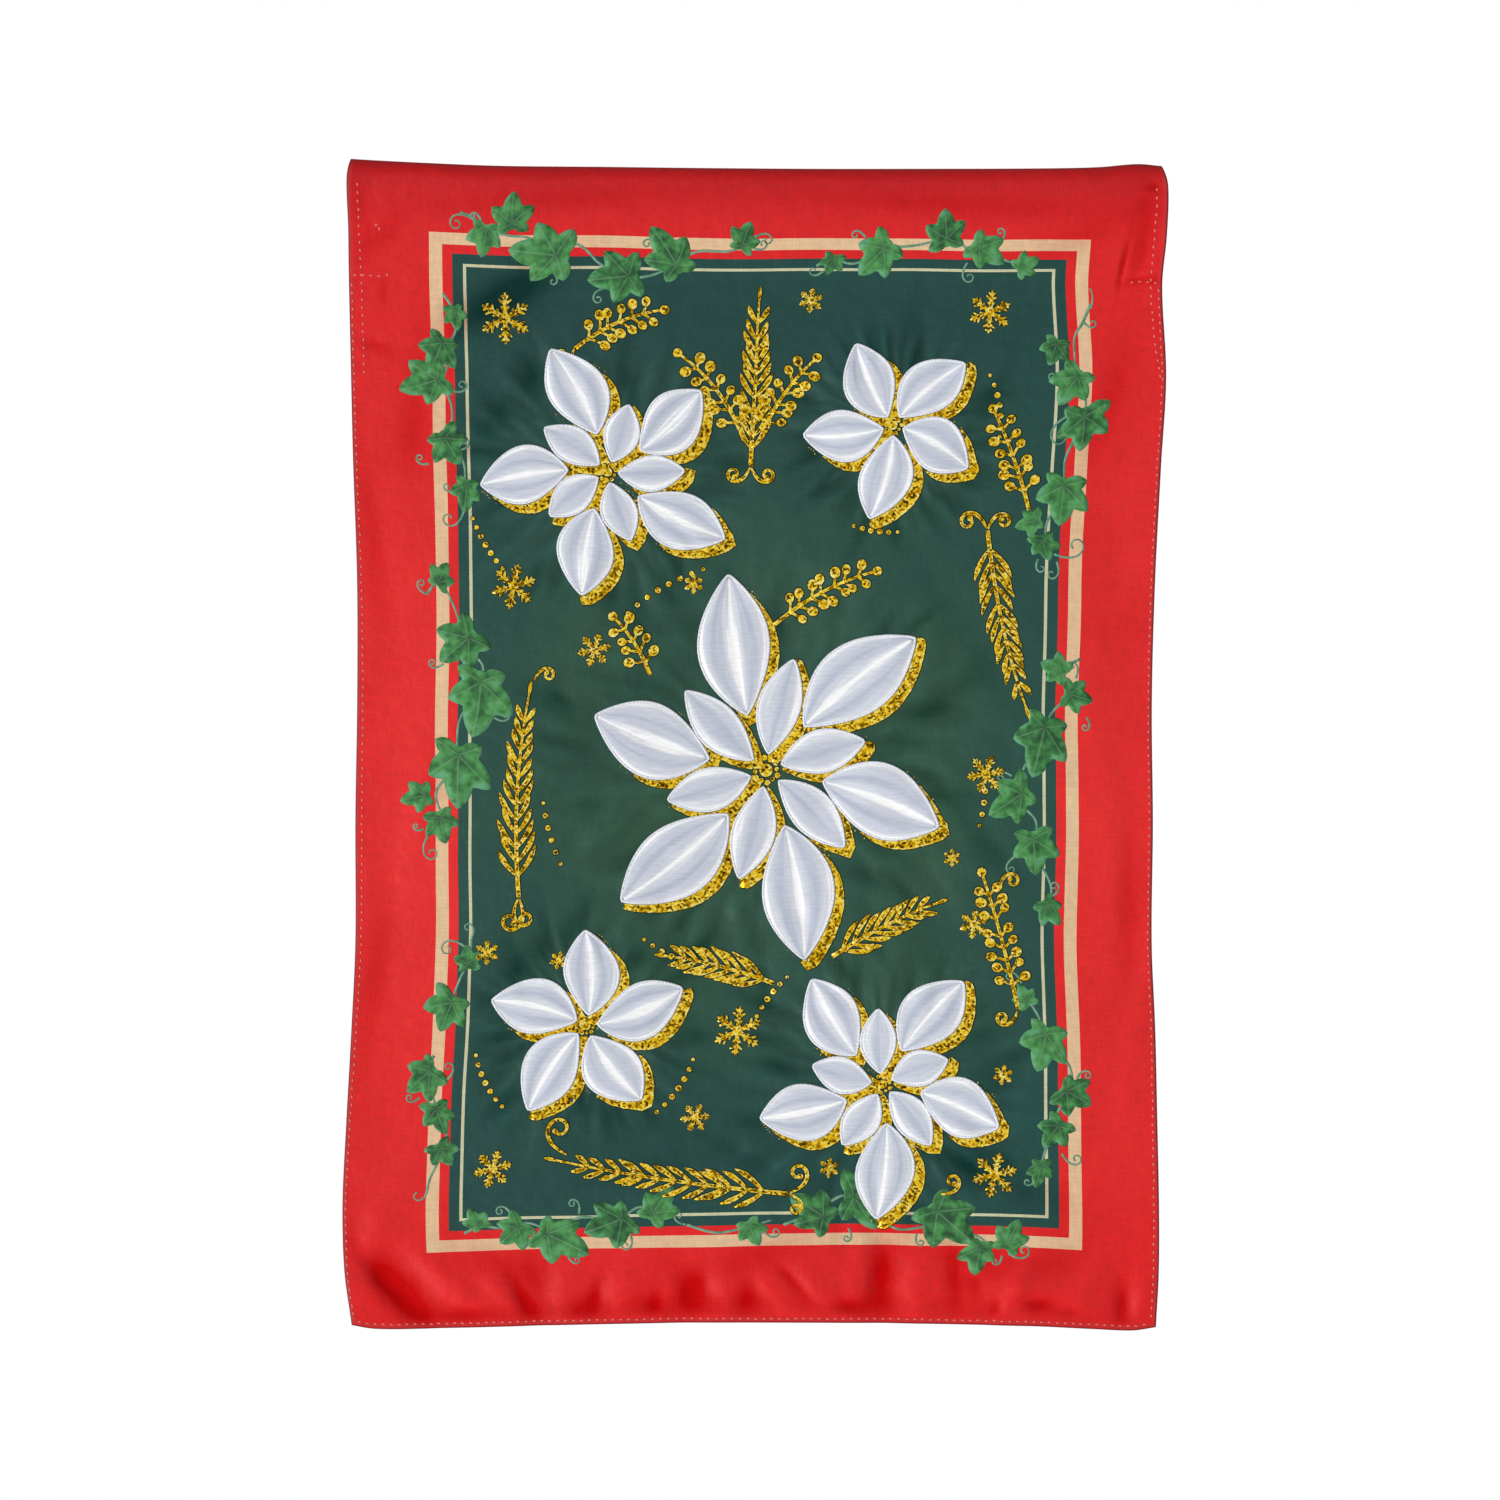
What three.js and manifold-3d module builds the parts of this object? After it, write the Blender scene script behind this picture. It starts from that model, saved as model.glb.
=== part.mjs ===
// Applique house flag: a banner of doubled polyester cloth with a pole sleeve across its top and raised
// white satin petals sewn to its face. Millimetres, +Z up, the face looks towards -Y. The origin is the
// point at mid width where a pole inside the sleeve would carry the flag.

import * as THREE from 'three';
import { mergeVertices } from 'three/addons/utils/BufferGeometryUtils.js';
import Module from 'manifold-3d';

const wasm = await Module();
wasm.setup();

// Driving dimensions: the common 28 by 40 inch banner.
const flagWidth = 711;
const flagHeight = 1016;
const panelThick = 1.5;
const sleeveWall = 1.5;
const sleeveDrop = 102; // from the top fold down to the sleeve's seam
const sleeveRadius = 14; // of the rounded top fold, outside
const seamDepth = 5; // height of the sewn strip where the sleeve's two walls meet
const slitHalf = 0.3; // half the width left between the walls just above that strip
const pieceGap = 0.3; // between neighbouring pieces
const appliqueThick = 1.2;
const petalGap = 0.5; // between the panel's face and the back of an applique piece

// How finely each piece is cut into facets.
const clothColumns = 28;
const panelRows = 40;
const foldSteps = 5;
const wallSteps = 4;
const petalSteps = 8;
const cutterReach = 50; // how far a petal's cutter stands out on either side of the cloth

// Where the side edges hang, measured down from the top fold. The sewn work draws them in at mid height.
const sideEdges = [
  { down: 0, left: -351, right: 353 },
  { down: 20, left: -354, right: 358 },
  { down: 60, left: -353.2, right: 357.6 },
  { down: 105, left: -353.2, right: 354.1 },
  { down: 184, left: -351.5, right: 357.6 },
  { down: 262, left: -349.7, right: 353.2 },
  { down: 366, left: -346.3, right: 348 },
  { down: 471, left: -346.3, right: 345.4 },
  { down: 575, left: -348, right: 346.3 },
  { down: 680, left: -348, right: 345 },
  { down: 758, left: -351.5, right: 348 },
  { down: 836, left: -355.8, right: 349.7 },
  { down: 914, left: -359.3, right: 351.5 },
  { down: 967, left: -357.6, right: 351.5 },
  { down: 1016, left: -351, right: 349 },
];

// Heights of the top fold and of the bottom hem, measured across from the left edge.
const endEdges = [
  { across: 0, top: 8.7, bottom: -1006 },
  { across: 20, top: 7.5, bottom: -1009.2 },
  { across: 60, top: 5.4, bottom: -1009.4 },
  { across: 130, top: 2.6, bottom: -1007.5 },
  { across: 220, top: 1.7, bottom: -1004.9 },
  { across: 310, top: 0.7, bottom: -1003.2 },
  { across: 410, top: 0, bottom: -1003.1 },
  { across: 510, top: 0, bottom: -1004.2 },
  { across: 600, top: 0.3, bottom: -1006.4 },
  { across: 655, top: 1.4, bottom: -1009.4 },
  { across: 690, top: 4.2, bottom: -1010.9 },
  { across: 711, top: 2.5, bottom: -1008 },
];

// Broad soft swells of the hanging cloth. Depth is positive away from the face.
const swells = [
  { across: 150, down: 420, wide: 150, tall: 260, depth: -5 },
  { across: 560, down: 380, wide: 130, tall: 240, depth: -4 },
  { across: 355, down: 600, wide: 120, tall: 300, depth: 4 },
  { across: 90, down: 880, wide: 110, tall: 150, depth: 5 },
  { across: 620, down: 800, wide: 120, tall: 220, depth: -5 },
  { across: 380, down: 985, wide: 140, tall: 90, depth: -5 },
  { across: 690, down: 980, wide: 70, tall: 90, depth: 5 },
  { across: 20, down: 560, wide: 60, tall: 260, depth: 5 },
  { across: 700, down: 520, wide: 55, tall: 230, depth: 4 },
];

// Main folds: soft troughs and ridges about a short line. Lean is in degrees from the horizontal.
const folds = [
  { across: 137, down: 114, lean: 30, length: 62, width: 17, depth: 3 },
  { across: 49, down: 977, lean: -45, length: 48, width: 16, depth: 6 },
  { across: 565, down: 445, lean: -58, length: 90, width: 18, depth: 2.6 },
  { across: 600, down: 500, lean: -52, length: 80, width: 17, depth: -2.4 },
  { across: 420, down: 556, lean: 62, length: 55, width: 17, depth: 2.2 },
  { across: 168, down: 985, lean: 84, length: 42, width: 17, depth: 2.6 },
  { across: 290, down: 990, lean: 96, length: 40, width: 19, depth: 2.4 },
  { across: 470, down: 988, lean: 88, length: 44, width: 18, depth: 2.6 },
  { across: 585, down: 985, lean: 78, length: 46, width: 18, depth: -2.2 },
  { across: 520, down: 700, lean: -70, length: 70, width: 20, depth: 2 },
];

// Blooms of pointed satin petals, placed by their middles on the flat cloth. Turn and swirl are in degrees.
const blooms = [
  { name: 'centre_bloom', across: 366, down: 530, reach: 168, petals: 6, turn: 8, swirl: 10, rings: 2 },
  { name: 'upper_bloom', across: 224, down: 268, reach: 113, petals: 5, turn: 24, swirl: -12, rings: 2 },
  { name: 'lower_bloom', across: 470, down: 806, reach: 113, petals: 5, turn: -10, swirl: 12, rings: 2 },
  { name: 'top_bloom', across: 474, down: 226, reach: 80, petals: 5, turn: 34, swirl: 14, rings: 1 },
  { name: 'foot_bloom', across: 208, down: 754, reach: 86, petals: 5, turn: 12, swirl: -14, rings: 1 },
];

// A ring of petals, as shares of its bloom's reach, for five and for six petals.
const petalRings = {
  inner: { from: 0.09, to: 0.57, half: { 5: 0.134, 6: 0.11 } },
  outer: { from: 0.31, to: 1, half: { 5: 0.22, 6: 0.19 } },
  single: { from: 0.12, to: 1, half: { 5: 0.28, 6: 0.2 } },
};
const unevenPetals = 0.05; // share by which neighbouring petals differ in length
const petalPoint = 0.85; // below 1 fills a petal's sides out

// Reads a column of a table at a place between its rows, along a smooth curve.
function readTable(rows, key, column, place) {
  const last = rows.length - 1;
  let row = 0;
  while (row < last - 1 && place > rows[row + 1][key]) row += 1;
  const slopeAt = (i) => {
    const before = rows[Math.max(i - 1, 0)];
    const after = rows[Math.min(i + 1, last)];
    return (after[column] - before[column]) / (after[key] - before[key]);
  };
  const span = rows[row + 1][key] - rows[row][key];
  const t = THREE.MathUtils.clamp((place - rows[row][key]) / span, 0, 1);
  const start = rows[row][column];
  const end = rows[row + 1][column];
  const ease = t * t * (3 - 2 * t);
  const leave = t * (1 - t) * (1 - t) * slopeAt(row) * span;
  const arrive = t * t * (t - 1) * slopeAt(row + 1) * span;
  return start + (end - start) * ease + leave + arrive;
}

// Turns a place on the flat cloth into its x and z as the flag hangs, blended from the four edges.
function hang(across, down) {
  const u = across / flagWidth;
  const v = down / flagHeight;
  const left = readTable(sideEdges, 'down', 'left', down);
  const right = readTable(sideEdges, 'down', 'right', down);
  const top = readTable(endEdges, 'across', 'top', across);
  const bottom = readTable(endEdges, 'across', 'bottom', across);
  return { x: left + (right - left) * u, z: top + (bottom - top) * v };
}

// How far the cloth stands behind the plane of the flag at a place, its swells and folds summed.
function depthAt(across, down) {
  let depth = 0;
  for (const swell of swells) {
    const a = (across - swell.across) / swell.wide;
    const b = (down - swell.down) / swell.tall;
    depth += swell.depth * Math.exp(-a * a - b * b);
  }
  for (const fold of folds) {
    const lean = THREE.MathUtils.degToRad(fold.lean);
    const right = across - fold.across;
    const up = fold.down - down;
    const along = (right * Math.cos(lean) + up * Math.sin(lean)) / fold.length;
    const off = (up * Math.cos(lean) - right * Math.sin(lean)) / fold.width;
    depth += fold.depth * Math.exp(-along * along - off * off);
  }
  return depth;
}

// A solid between two faces, each a grid of points: columns run across and rows run down.
function sheetSolid(front, back) {
  const rows = front.length;
  const columns = front[0].length;
  const points = [...front.flat(), ...back.flat()];
  const at = (face, row, column) => face * rows * columns + row * columns + column;
  const index = [];
  const quad = (a, b, c, d) => index.push(a, b, c, a, c, d);
  for (let r = 0; r < rows - 1; r += 1) {
    for (let c = 0; c < columns - 1; c += 1) {
      quad(at(0, r, c), at(0, r + 1, c), at(0, r + 1, c + 1), at(0, r, c + 1));
      quad(at(1, r, c), at(1, r, c + 1), at(1, r + 1, c + 1), at(1, r + 1, c));
    }
    quad(at(0, r, 0), at(1, r, 0), at(1, r + 1, 0), at(0, r + 1, 0));
    quad(at(0, r, columns - 1), at(0, r + 1, columns - 1), at(1, r + 1, columns - 1), at(1, r, columns - 1));
  }
  for (let c = 0; c < columns - 1; c += 1) {
    quad(at(0, 0, c), at(0, 0, c + 1), at(1, 0, c + 1), at(1, 0, c));
    quad(at(0, rows - 1, c), at(1, rows - 1, c), at(1, rows - 1, c + 1), at(0, rows - 1, c + 1));
  }
  return indexedGeometry(points, index);
}

function indexedGeometry(points, index) {
  const geometry = new THREE.BufferGeometry();
  const flat = points.flatMap((p) => [p.x, p.y, p.z]);
  geometry.setAttribute('position', new THREE.Float32BufferAttribute(flat, 3));
  geometry.setIndex(index);
  geometry.computeVertexNormals();
  return geometry;
}

// The panel's cloth at a set distance in front of its middle layer.
function panelFace(forward) {
  const face = [];
  const firstRow = sleeveDrop + pieceGap;
  for (let r = 0; r <= panelRows; r += 1) {
    const down = firstRow + ((flagHeight - firstRow) * r) / panelRows;
    const line = [];
    for (let c = 0; c <= clothColumns; c += 1) {
      const across = (flagWidth * c) / clothColumns;
      const { x, z } = hang(across, down);
      line.push(new THREE.Vector3(x, depthAt(across, down) - forward, z));
    }
    face.push(line);
  }
  return face;
}

// Half the sleeve's depth at a drop below its top: a round fold, then walls that close on the seam.
function sleeveHalf(drop, radius, length, endHalf) {
  if (drop < radius) return Math.sqrt(radius * radius - (radius - drop) ** 2);
  const share = Math.min((drop - radius) / (length - radius), 1);
  return radius + (endHalf - radius) * share;
}

// One loop of the sleeve's section at a place across, from the seam up the face and down the back.
function sleeveLoop(across, inset, bottom, endHalf) {
  const radius = sleeveRadius - inset;
  const drops = [];
  for (let k = 1; k <= wallSteps; k += 1) {
    drops.push(radius + ((bottom - inset - radius) * (wallSteps + 1 - k)) / wallSteps);
  }
  for (let k = 0; k <= foldSteps; k += 1) {
    const angle = ((Math.PI / 2) * k) / foldSteps;
    drops.push(radius * (1 - Math.sin(angle)));
  }
  const point = (drop, side) => {
    const down = drop + inset;
    const { x, z } = hang(across, down);
    const half = sleeveHalf(drop, radius, bottom - inset, endHalf);
    return new THREE.Vector3(x, depthAt(across, down) + side * half, z);
  };
  const face = drops.map((drop) => point(drop, -1));
  const rear = drops.slice(0, -1).reverse().map((drop) => point(drop, 1));
  return [...face, ...rear];
}

function sleeveGeometry() {
  const outer = [];
  const inner = [];
  for (let c = 0; c <= clothColumns; c += 1) {
    const across = (flagWidth * c) / clothColumns;
    outer.push(sleeveLoop(across, 0, sleeveDrop, sleeveWall));
    inner.push(sleeveLoop(across, sleeveWall, sleeveDrop - seamDepth, slitHalf));
  }
  const size = outer[0].length;
  const points = [...outer.flat(), ...inner.flat()];
  const at = (wall, column, k) => (wall * (clothColumns + 1) + column) * size + (k % size);
  const index = [];
  const quad = (a, b, c, d) => index.push(a, b, c, a, c, d);
  for (let k = 0; k < size; k += 1) {
    for (let c = 0; c < clothColumns; c += 1) {
      quad(at(0, c, k), at(0, c + 1, k), at(0, c + 1, k + 1), at(0, c, k + 1));
      quad(at(1, c, k), at(1, c, k + 1), at(1, c + 1, k + 1), at(1, c + 1, k));
    }
    quad(at(0, 0, k), at(0, 0, k + 1), at(1, 0, k + 1), at(1, 0, k));
    const end = clothColumns;
    quad(at(0, end, k), at(1, end, k), at(1, end, k + 1), at(0, end, k + 1));
  }
  return indexedGeometry(points, index);
}

// The outline of one petal on the flat cloth, as places across and down.
function petalOutline(bloom, ring, k) {
  const uneven = 1 + unevenPetals * Math.sin(2.4 * k + bloom.turn);
  const from = ring.from * bloom.reach;
  const length = ring.to * bloom.reach * uneven - from;
  const half = ring.half[bloom.petals] * bloom.reach;
  const offset = ring === petalRings.outer ? 0.5 : 0;
  const heading = bloom.turn + (360 * (k + offset)) / bloom.petals;
  const side = (t, sign) => {
    const out = from + length * t;
    const width = sign * half * Math.sin(Math.PI * t) ** petalPoint;
    const angle = THREE.MathUtils.degToRad(heading + (bloom.swirl * out) / bloom.reach);
    return {
      across: bloom.across + out * Math.sin(angle) + width * Math.cos(angle),
      down: bloom.down - out * Math.cos(angle) + width * Math.sin(angle),
    };
  };
  const outline = [];
  for (let i = 0; i < petalSteps; i += 1) outline.push(side(i / petalSteps, 1));
  for (let i = 0; i < petalSteps; i += 1) outline.push(side(1 - i / petalSteps, -1));
  return outline;
}

// A prism through the cloth with the petal's outline.
function petalPrism(outline) {
  const places = outline.map(({ across, down }) => {
    const { x, z } = hang(across, down);
    return new THREE.Vector2(x, z);
  });
  const geometry = new THREE.ExtrudeGeometry(new THREE.Shape(places), {
    depth: 2 * cutterReach,
    steps: 1,
    bevelEnabled: false,
  });
  geometry.translate(0, 0, -cutterReach);
  geometry.rotateX(Math.PI / 2);
  return geometry;
}

function toManifold(geometry) {
  const bare = geometry.clone();
  bare.deleteAttribute('normal');
  bare.deleteAttribute('uv');
  const merged = mergeVertices(bare);
  return new wasm.Manifold(new wasm.Mesh({
    numProp: 3,
    vertProperties: new Float32Array(merged.attributes.position.array),
    triVerts: new Uint32Array(merged.index.array),
  }));
}

function fromManifold(solid) {
  const { vertProperties, triVerts } = solid.getMesh();
  const geometry = new THREE.BufferGeometry();
  geometry.setAttribute('position', new THREE.BufferAttribute(vertProperties, 3));
  geometry.setIndex(new THREE.BufferAttribute(triVerts, 1));
  geometry.computeVertexNormals();
  return geometry;
}

function clothMaterial(color, roughness) {
  return new THREE.MeshStandardMaterial({ color, roughness, metalness: 0 });
}

function addPiece(group, name, geometry, material) {
  const piece = new THREE.Mesh(geometry, material);
  piece.name = name;
  group.add(piece);
}

const flag = new THREE.Group();
const front = panelFace(panelThick / 2);
const back = panelFace(-panelThick / 2);
addPiece(flag, 'flag_panel', sheetSolid(front, back), clothMaterial(0xd93030, 0.6));
addPiece(flag, 'pole_sleeve', sleeveGeometry(), clothMaterial(0xcd2a2c, 0.6));

// The satin pieces are cut from one layer that follows the panel's face.
const layerBack = panelFace(panelThick / 2 + petalGap);
const layerFront = panelFace(panelThick / 2 + petalGap + appliqueThick);
const satinLayer = toManifold(sheetSolid(layerFront, layerBack));

for (const bloom of blooms) {
  const ringNames = bloom.rings === 2 ? ['outer', 'inner'] : ['single'];
  for (const ringName of ringNames) {
    for (let k = 0; k < bloom.petals; k += 1) {
      const prism = toManifold(petalPrism(petalOutline(bloom, petalRings[ringName], k)));
      const petal = fromManifold(satinLayer.intersect(prism));
      addPiece(flag, `${bloom.name}_${ringName}_${k + 1}`, petal, clothMaterial(0xe6e8f2, 0.45));
    }
  }
}

flag.position.z = sleeveWall;

export default flag;
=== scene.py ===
import math
import random
from collections import namedtuple

import bmesh
import bpy
import numpy as np
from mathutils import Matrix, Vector


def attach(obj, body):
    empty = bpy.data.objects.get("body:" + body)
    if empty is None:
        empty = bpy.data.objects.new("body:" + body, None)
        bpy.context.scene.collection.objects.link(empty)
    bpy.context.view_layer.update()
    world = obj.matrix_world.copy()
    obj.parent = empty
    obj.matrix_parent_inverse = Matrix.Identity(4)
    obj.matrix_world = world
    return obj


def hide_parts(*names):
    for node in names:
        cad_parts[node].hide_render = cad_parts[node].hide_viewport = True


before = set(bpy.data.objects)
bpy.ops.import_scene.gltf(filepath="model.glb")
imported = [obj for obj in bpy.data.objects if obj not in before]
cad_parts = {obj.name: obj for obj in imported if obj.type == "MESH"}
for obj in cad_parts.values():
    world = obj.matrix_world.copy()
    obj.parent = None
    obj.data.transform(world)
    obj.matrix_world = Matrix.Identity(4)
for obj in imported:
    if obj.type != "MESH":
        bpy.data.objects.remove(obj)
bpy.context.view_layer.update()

# Applique house flag. Every table is in millimetres on the flat cloth: across from its left edge,
# down from its top fold, as a sewer would mark it out. Each piece is made flat and then hung.
mm = 0.001
draw = random.Random(28)

# the camera, at the height of the flag's middle and square to it

photo = {
    "view": 1.305,  # width of cloth and air that the picture takes in, m
    "across": -0.0044,
    "height": -0.5040,
    "lens": 85.0,
    "sensor": 36.0,
    "sees": (0.05, 60),  # from the nearest to the farthest, m
}


def makeCamera():
    data = bpy.data.cameras.new("photo_camera")
    data.lens, data.sensor_width = photo["lens"], photo["sensor"]
    data.clip_start, data.clip_end = photo["sees"]
    camera = bpy.data.objects.new("photo_camera", data)
    away = photo["view"] / 2 * photo["lens"] / (photo["sensor"] / 2)
    camera.location = (photo["across"], -away, photo["height"])
    camera.rotation_euler = (math.pi / 2, 0, 0)
    bpy.context.collection.objects.link(camera)
    bpy.context.scene.camera = camera


makeCamera()
print("camera set")

# how the cloth hangs, the same tables as the solids have

cloth = {
    "width": 711,  # cut 28 by 40 in, with the sleeve's turn on top of that
    "height": 1016,
    "sleeveDrop": 102,  # from the top fold to the sleeve's seam
    "sleeveRadius": 14,
    "seamHalf": 1.5,  # outside of either wall at the seam, from the middle layer
    "panelHalf": 0.75,
    "easeBelowSeam": 22,
    "sleeveTail": 5,  # cloth below the seam on the back
    # where its columns and its face's rows start, and how many run up to the next: closer at fine creases
    "columns": [(0, 12), (30, 138), (655, 28)],
    "rows": [(1016, 24), (956, 178), (118, 42)],
    "foldRows": 12,
    "backRows": 20,
    "hemThickness": 1.55,
    "fieldThickness": 1.05,
    "hemWidth": 13,
    "hemBlend": 4,  # over which the hem thins out to the field
    "creaseFoot": (2, 8, 0.25),  # how far above the foot fine creases end, over what height, at what share
}

# down, left edge x, right edge x
sideEdges = [
    (0, -351, 353), (20, -354, 358), (60, -353.2, 357.6), (105, -353.2, 354.1), (184, -351.5, 357.6),
    (262, -349.7, 353.2), (366, -346.3, 348), (471, -346.3, 345.4), (575, -348, 346.3), (680, -348, 345),
    (758, -351.5, 348), (836, -355.8, 349.7), (914, -359.3, 351.5), (967, -357.6, 351.5), (1016, -351, 349),
]
# across, height of the top fold, height of the bottom hem
endEdges = [
    (0, 8.7, -1006), (20, 7.5, -1009.2), (60, 5.4, -1009.4), (130, 2.6, -1007.5), (220, 1.7, -1004.9),
    (310, 0.7, -1003.2), (410, 0, -1003.1), (510, 0, -1004.2), (600, 0.3, -1006.4), (655, 1.4, -1009.4),
    (690, 4.2, -1010.9), (711, 2.5, -1008),
]
originRise = 1.5  # the origin lies on the inside of the top fold

# across, down, width, height, depth: broad swells, positive away from the face
swells = [
    (150, 420, 150, 260, -5), (560, 380, 130, 240, -4), (355, 600, 120, 300, 4), (90, 880, 110, 150, 5),
    (620, 800, 120, 220, -5), (380, 985, 140, 90, -5), (690, 980, 70, 90, 5), (20, 560, 60, 260, 5),
    (700, 520, 55, 230, 4),
]
# across, down, lean, length, width, depth: soft troughs and ridges, lean in degrees from level
folds = [
    (137, 114, 30, 62, 17, 3), (49, 977, -45, 48, 16, 6), (565, 445, -58, 90, 18, 2.6),
    (600, 500, -52, 80, 17, -2.4), (420, 556, 62, 55, 17, 2.2), (168, 985, 84, 42, 17, 2.6),
    (290, 990, 96, 40, 19, 2.4), (470, 988, 88, 44, 18, 2.6), (585, 985, 78, 46, 18, -2.2),
    (520, 700, -70, 70, 20, 2),
]
# the finer creases, laid over the main folds, each with the same six values
creases = [
    (676, 87, 82, 19, 2.3, 2.8), (690, 76, 82, 24, 8, 1.2), (690, 101, 6, 14, 2.6, 1.8),
    (699, 22, 4, 6, 2.6, 2.0), (706, 100, 10, 6, 3, 1.6), (694, 45, 86, 44, 14, 1.2),
    (694, 96, 24, 9, 3, -1.0), (31, 112, 82, 11, 3.5, 1.4), (14, 48, 88, 44, 12, 1.0),
    (56, 232, 86, 44, 14, 1.7), (24, 160, -12, 15, 5, 1.9), (62, 176, 60, 16, 8, 1.2),
    (72, 545, 85, 40, 12, 1.2), (137, 114, 30, 50, 14, 3.0), (570, 882, -24, 62, 17, 2.0),
    (36, 62, 40, 24, 9, 1.1), (640, 60, 20, 44, 12, 1.2), (180, 30, 4, 110, 9, 1.0),
    (520, 32, -3, 130, 9, 1.2), (43, 985, -49, 40, 9, 3.6), (78, 962, -44, 30, 11, -1.6),
    (108, 1005, 0, 20, 5, 2.2), (98, 984, -40, 26, 10, -1.8), (153, 990, -64, 21, 6.5, 3.0),
    (135, 986, -60, 20, 8, -1.6), (185, 990, 80, 22, 11, -1.9), (217, 993, 69, 18, 6, 2.9),
    (200, 1005, 60, 8, 5, 1.6), (240, 990, 74, 22, 10, -2.0), (269, 1000, 70, 9, 6, 1.9),
    (305, 987, 67, 15, 12, 3.2), (284, 990, 100, 20, 9, -1.6), (330, 982, 104, 20, 10, -2.0),
    (351, 994, 80, 18, 11, 2.4), (391, 979, -47, 19, 4.8, 2.9), (376, 992, -50, 22, 8, -1.8),
    (414, 986, -56, 22, 10, -2.2), (441, 1002, 0, 17, 6, 2.6), (469, 970, 85, 24, 12, 2.8),
    (447, 976, 80, 22, 9, -1.8), (500, 984, 82, 26, 12, -2.4), (533, 976, -84, 24, 8, 2.8),
    (551, 982, -70, 10, 6, 1.9), (569, 1001, 60, 9, 4.6, 2.1), (588, 982, 70, 22, 10, -2.2),
    (606, 997, 0, 17, 6, 3.1), (614, 980, 8, 22, 9, -1.9), (635, 1003, 10, 9, 5, 1.8),
    (650, 976, 60, 28, 11, -2.4), (681, 994, 90, 18, 8, 3.0), (698, 985, 84, 22, 9, -1.9),
    (250, 1000, 1, 170, 10, 1.9), (520, 1000, -2, 130, 9, 1.0), (140, 962, -20, 60, 14, 1.2),
    (600, 962, 12, 60, 14, 1.0), (24, 940, 66, 46, 12, -2.0), (352, 960, 20, 70, 12, 1.4),
    (560, 958, 168, 80, 12, 1.3), (22, 700, 84, 70, 13, 1.7), (46, 610, 74, 90, 15, -0.7),
    (690, 640, 92, 80, 13, 1.7), (668, 540, 96, 90, 15, -1.4), (694, 760, 80, 70, 12, -1.6),
    (18, 330, 95, 70, 12, 1.5), (692, 300, 85, 70, 13, -0.4), (662, 210, 74, 60, 13, 1.4),
    (560, 590, -48, 46, 10, 1.7), (540, 640, -60, 38, 9, -1.4), (150, 700, 40, 48, 10, 1.4),
    (172, 470, -34, 44, 10, 1.3), (330, 395, 12, 44, 9, 1.3), (420, 352, -20, 42, 9, -1.3),
    (300, 690, 10, 44, 10, 1.4), (395, 705, -16, 36, 9, -1.3), (260, 880, 8, 44, 10, 1.3),
    (350, 870, -30, 40, 9, 1.2), (560, 200, 64, 44, 10, 1.3), (350, 190, 80, 44, 9, 1.3),
    (566, 900, 30, 44, 10, -1.3), (150, 190, 52, 60, 13, 2.0), (180, 150, 48, 50, 11, -1.2),
    (520, 470, 40, 60, 11, 1.3), (210, 600, 60, 50, 10, -1.2),
]


def readTable(rows, column, place):
    # a smooth curve through one column of a table, read at many places
    table = np.array(rows, float)
    key, value = table[:, 0], table[:, column]
    last = len(key) - 1
    before = np.maximum(np.arange(last + 1) - 1, 0)
    after = np.minimum(np.arange(last + 1) + 1, last)
    slope = (value[after] - value[before]) / (key[after] - key[before])
    place = np.asarray(place, float)
    row = np.clip(np.searchsorted(key, place) - 1, 0, last - 1)
    span = key[row + 1] - key[row]
    t = np.clip((place - key[row]) / span, 0, 1)
    ease = t * t * (3 - 2 * t)
    leave = t * (1 - t) ** 2 * slope[row] * span
    arrive = t * t * (t - 1) * slope[row + 1] * span
    return value[row] + (value[row + 1] - value[row]) * ease + leave + arrive


def hang(across, down):
    # x and z of a point of the flat cloth once it hangs
    u = across / cloth["width"]
    v = down / cloth["height"]
    left, right = readTable(sideEdges, 1, down), readTable(sideEdges, 2, down)
    top, bottom = readTable(endEdges, 1, across), readTable(endEdges, 2, across)
    return left + (right - left) * u, top + (bottom - top) * v + originRise


def foldDepth(rows, across, down):
    depth = np.zeros_like(across)
    for atAcross, atDown, lean, length, width, deep in rows:
        cosine, sine = math.cos(math.radians(lean)), math.sin(math.radians(lean))
        right, up = across - atAcross, atDown - down
        along = (right * cosine + up * sine) / length
        off = (up * cosine - right * sine) / width
        depth += deep * np.exp(-along ** 2 - off ** 2)
    return depth


# the satin blooms, the same table as the solids have

bloomRow = namedtuple("bloomRow", "name across down reach petals turn swirl rings")
blooms = [
    bloomRow("centre_bloom", 366, 530, 168, 6, 8, 10, ("outer", "inner")),
    bloomRow("upper_bloom", 224, 268, 113, 5, 24, -12, ("outer", "inner")),
    bloomRow("lower_bloom", 470, 806, 113, 5, -10, 12, ("outer", "inner")),
    bloomRow("top_bloom", 474, 226, 80, 5, 34, 14, ("single",)),
    bloomRow("foot_bloom", 208, 754, 86, 5, 12, -14, ("single",)),
]
# start and end as shares of the reach, half width for five and for six petals, lobes across
ringRow = namedtuple("ringRow", "start end half lobes")
petalRings = {
    "outer": ringRow(0.31, 1, {5: 0.22, 6: 0.19}, 2),
    "inner": ringRow(0.09, 0.57, {5: 0.134, 6: 0.11}, 1),
    "single": ringRow(0.12, 1, {5: 0.28, 6: 0.2}, 2),
}
petalShape = {
    "uneven": 0.05,  # how much petals differ in length
    "unevenTurn": 2.4,  # radians from one petal to the next
    "point": 0.85,
}


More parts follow.
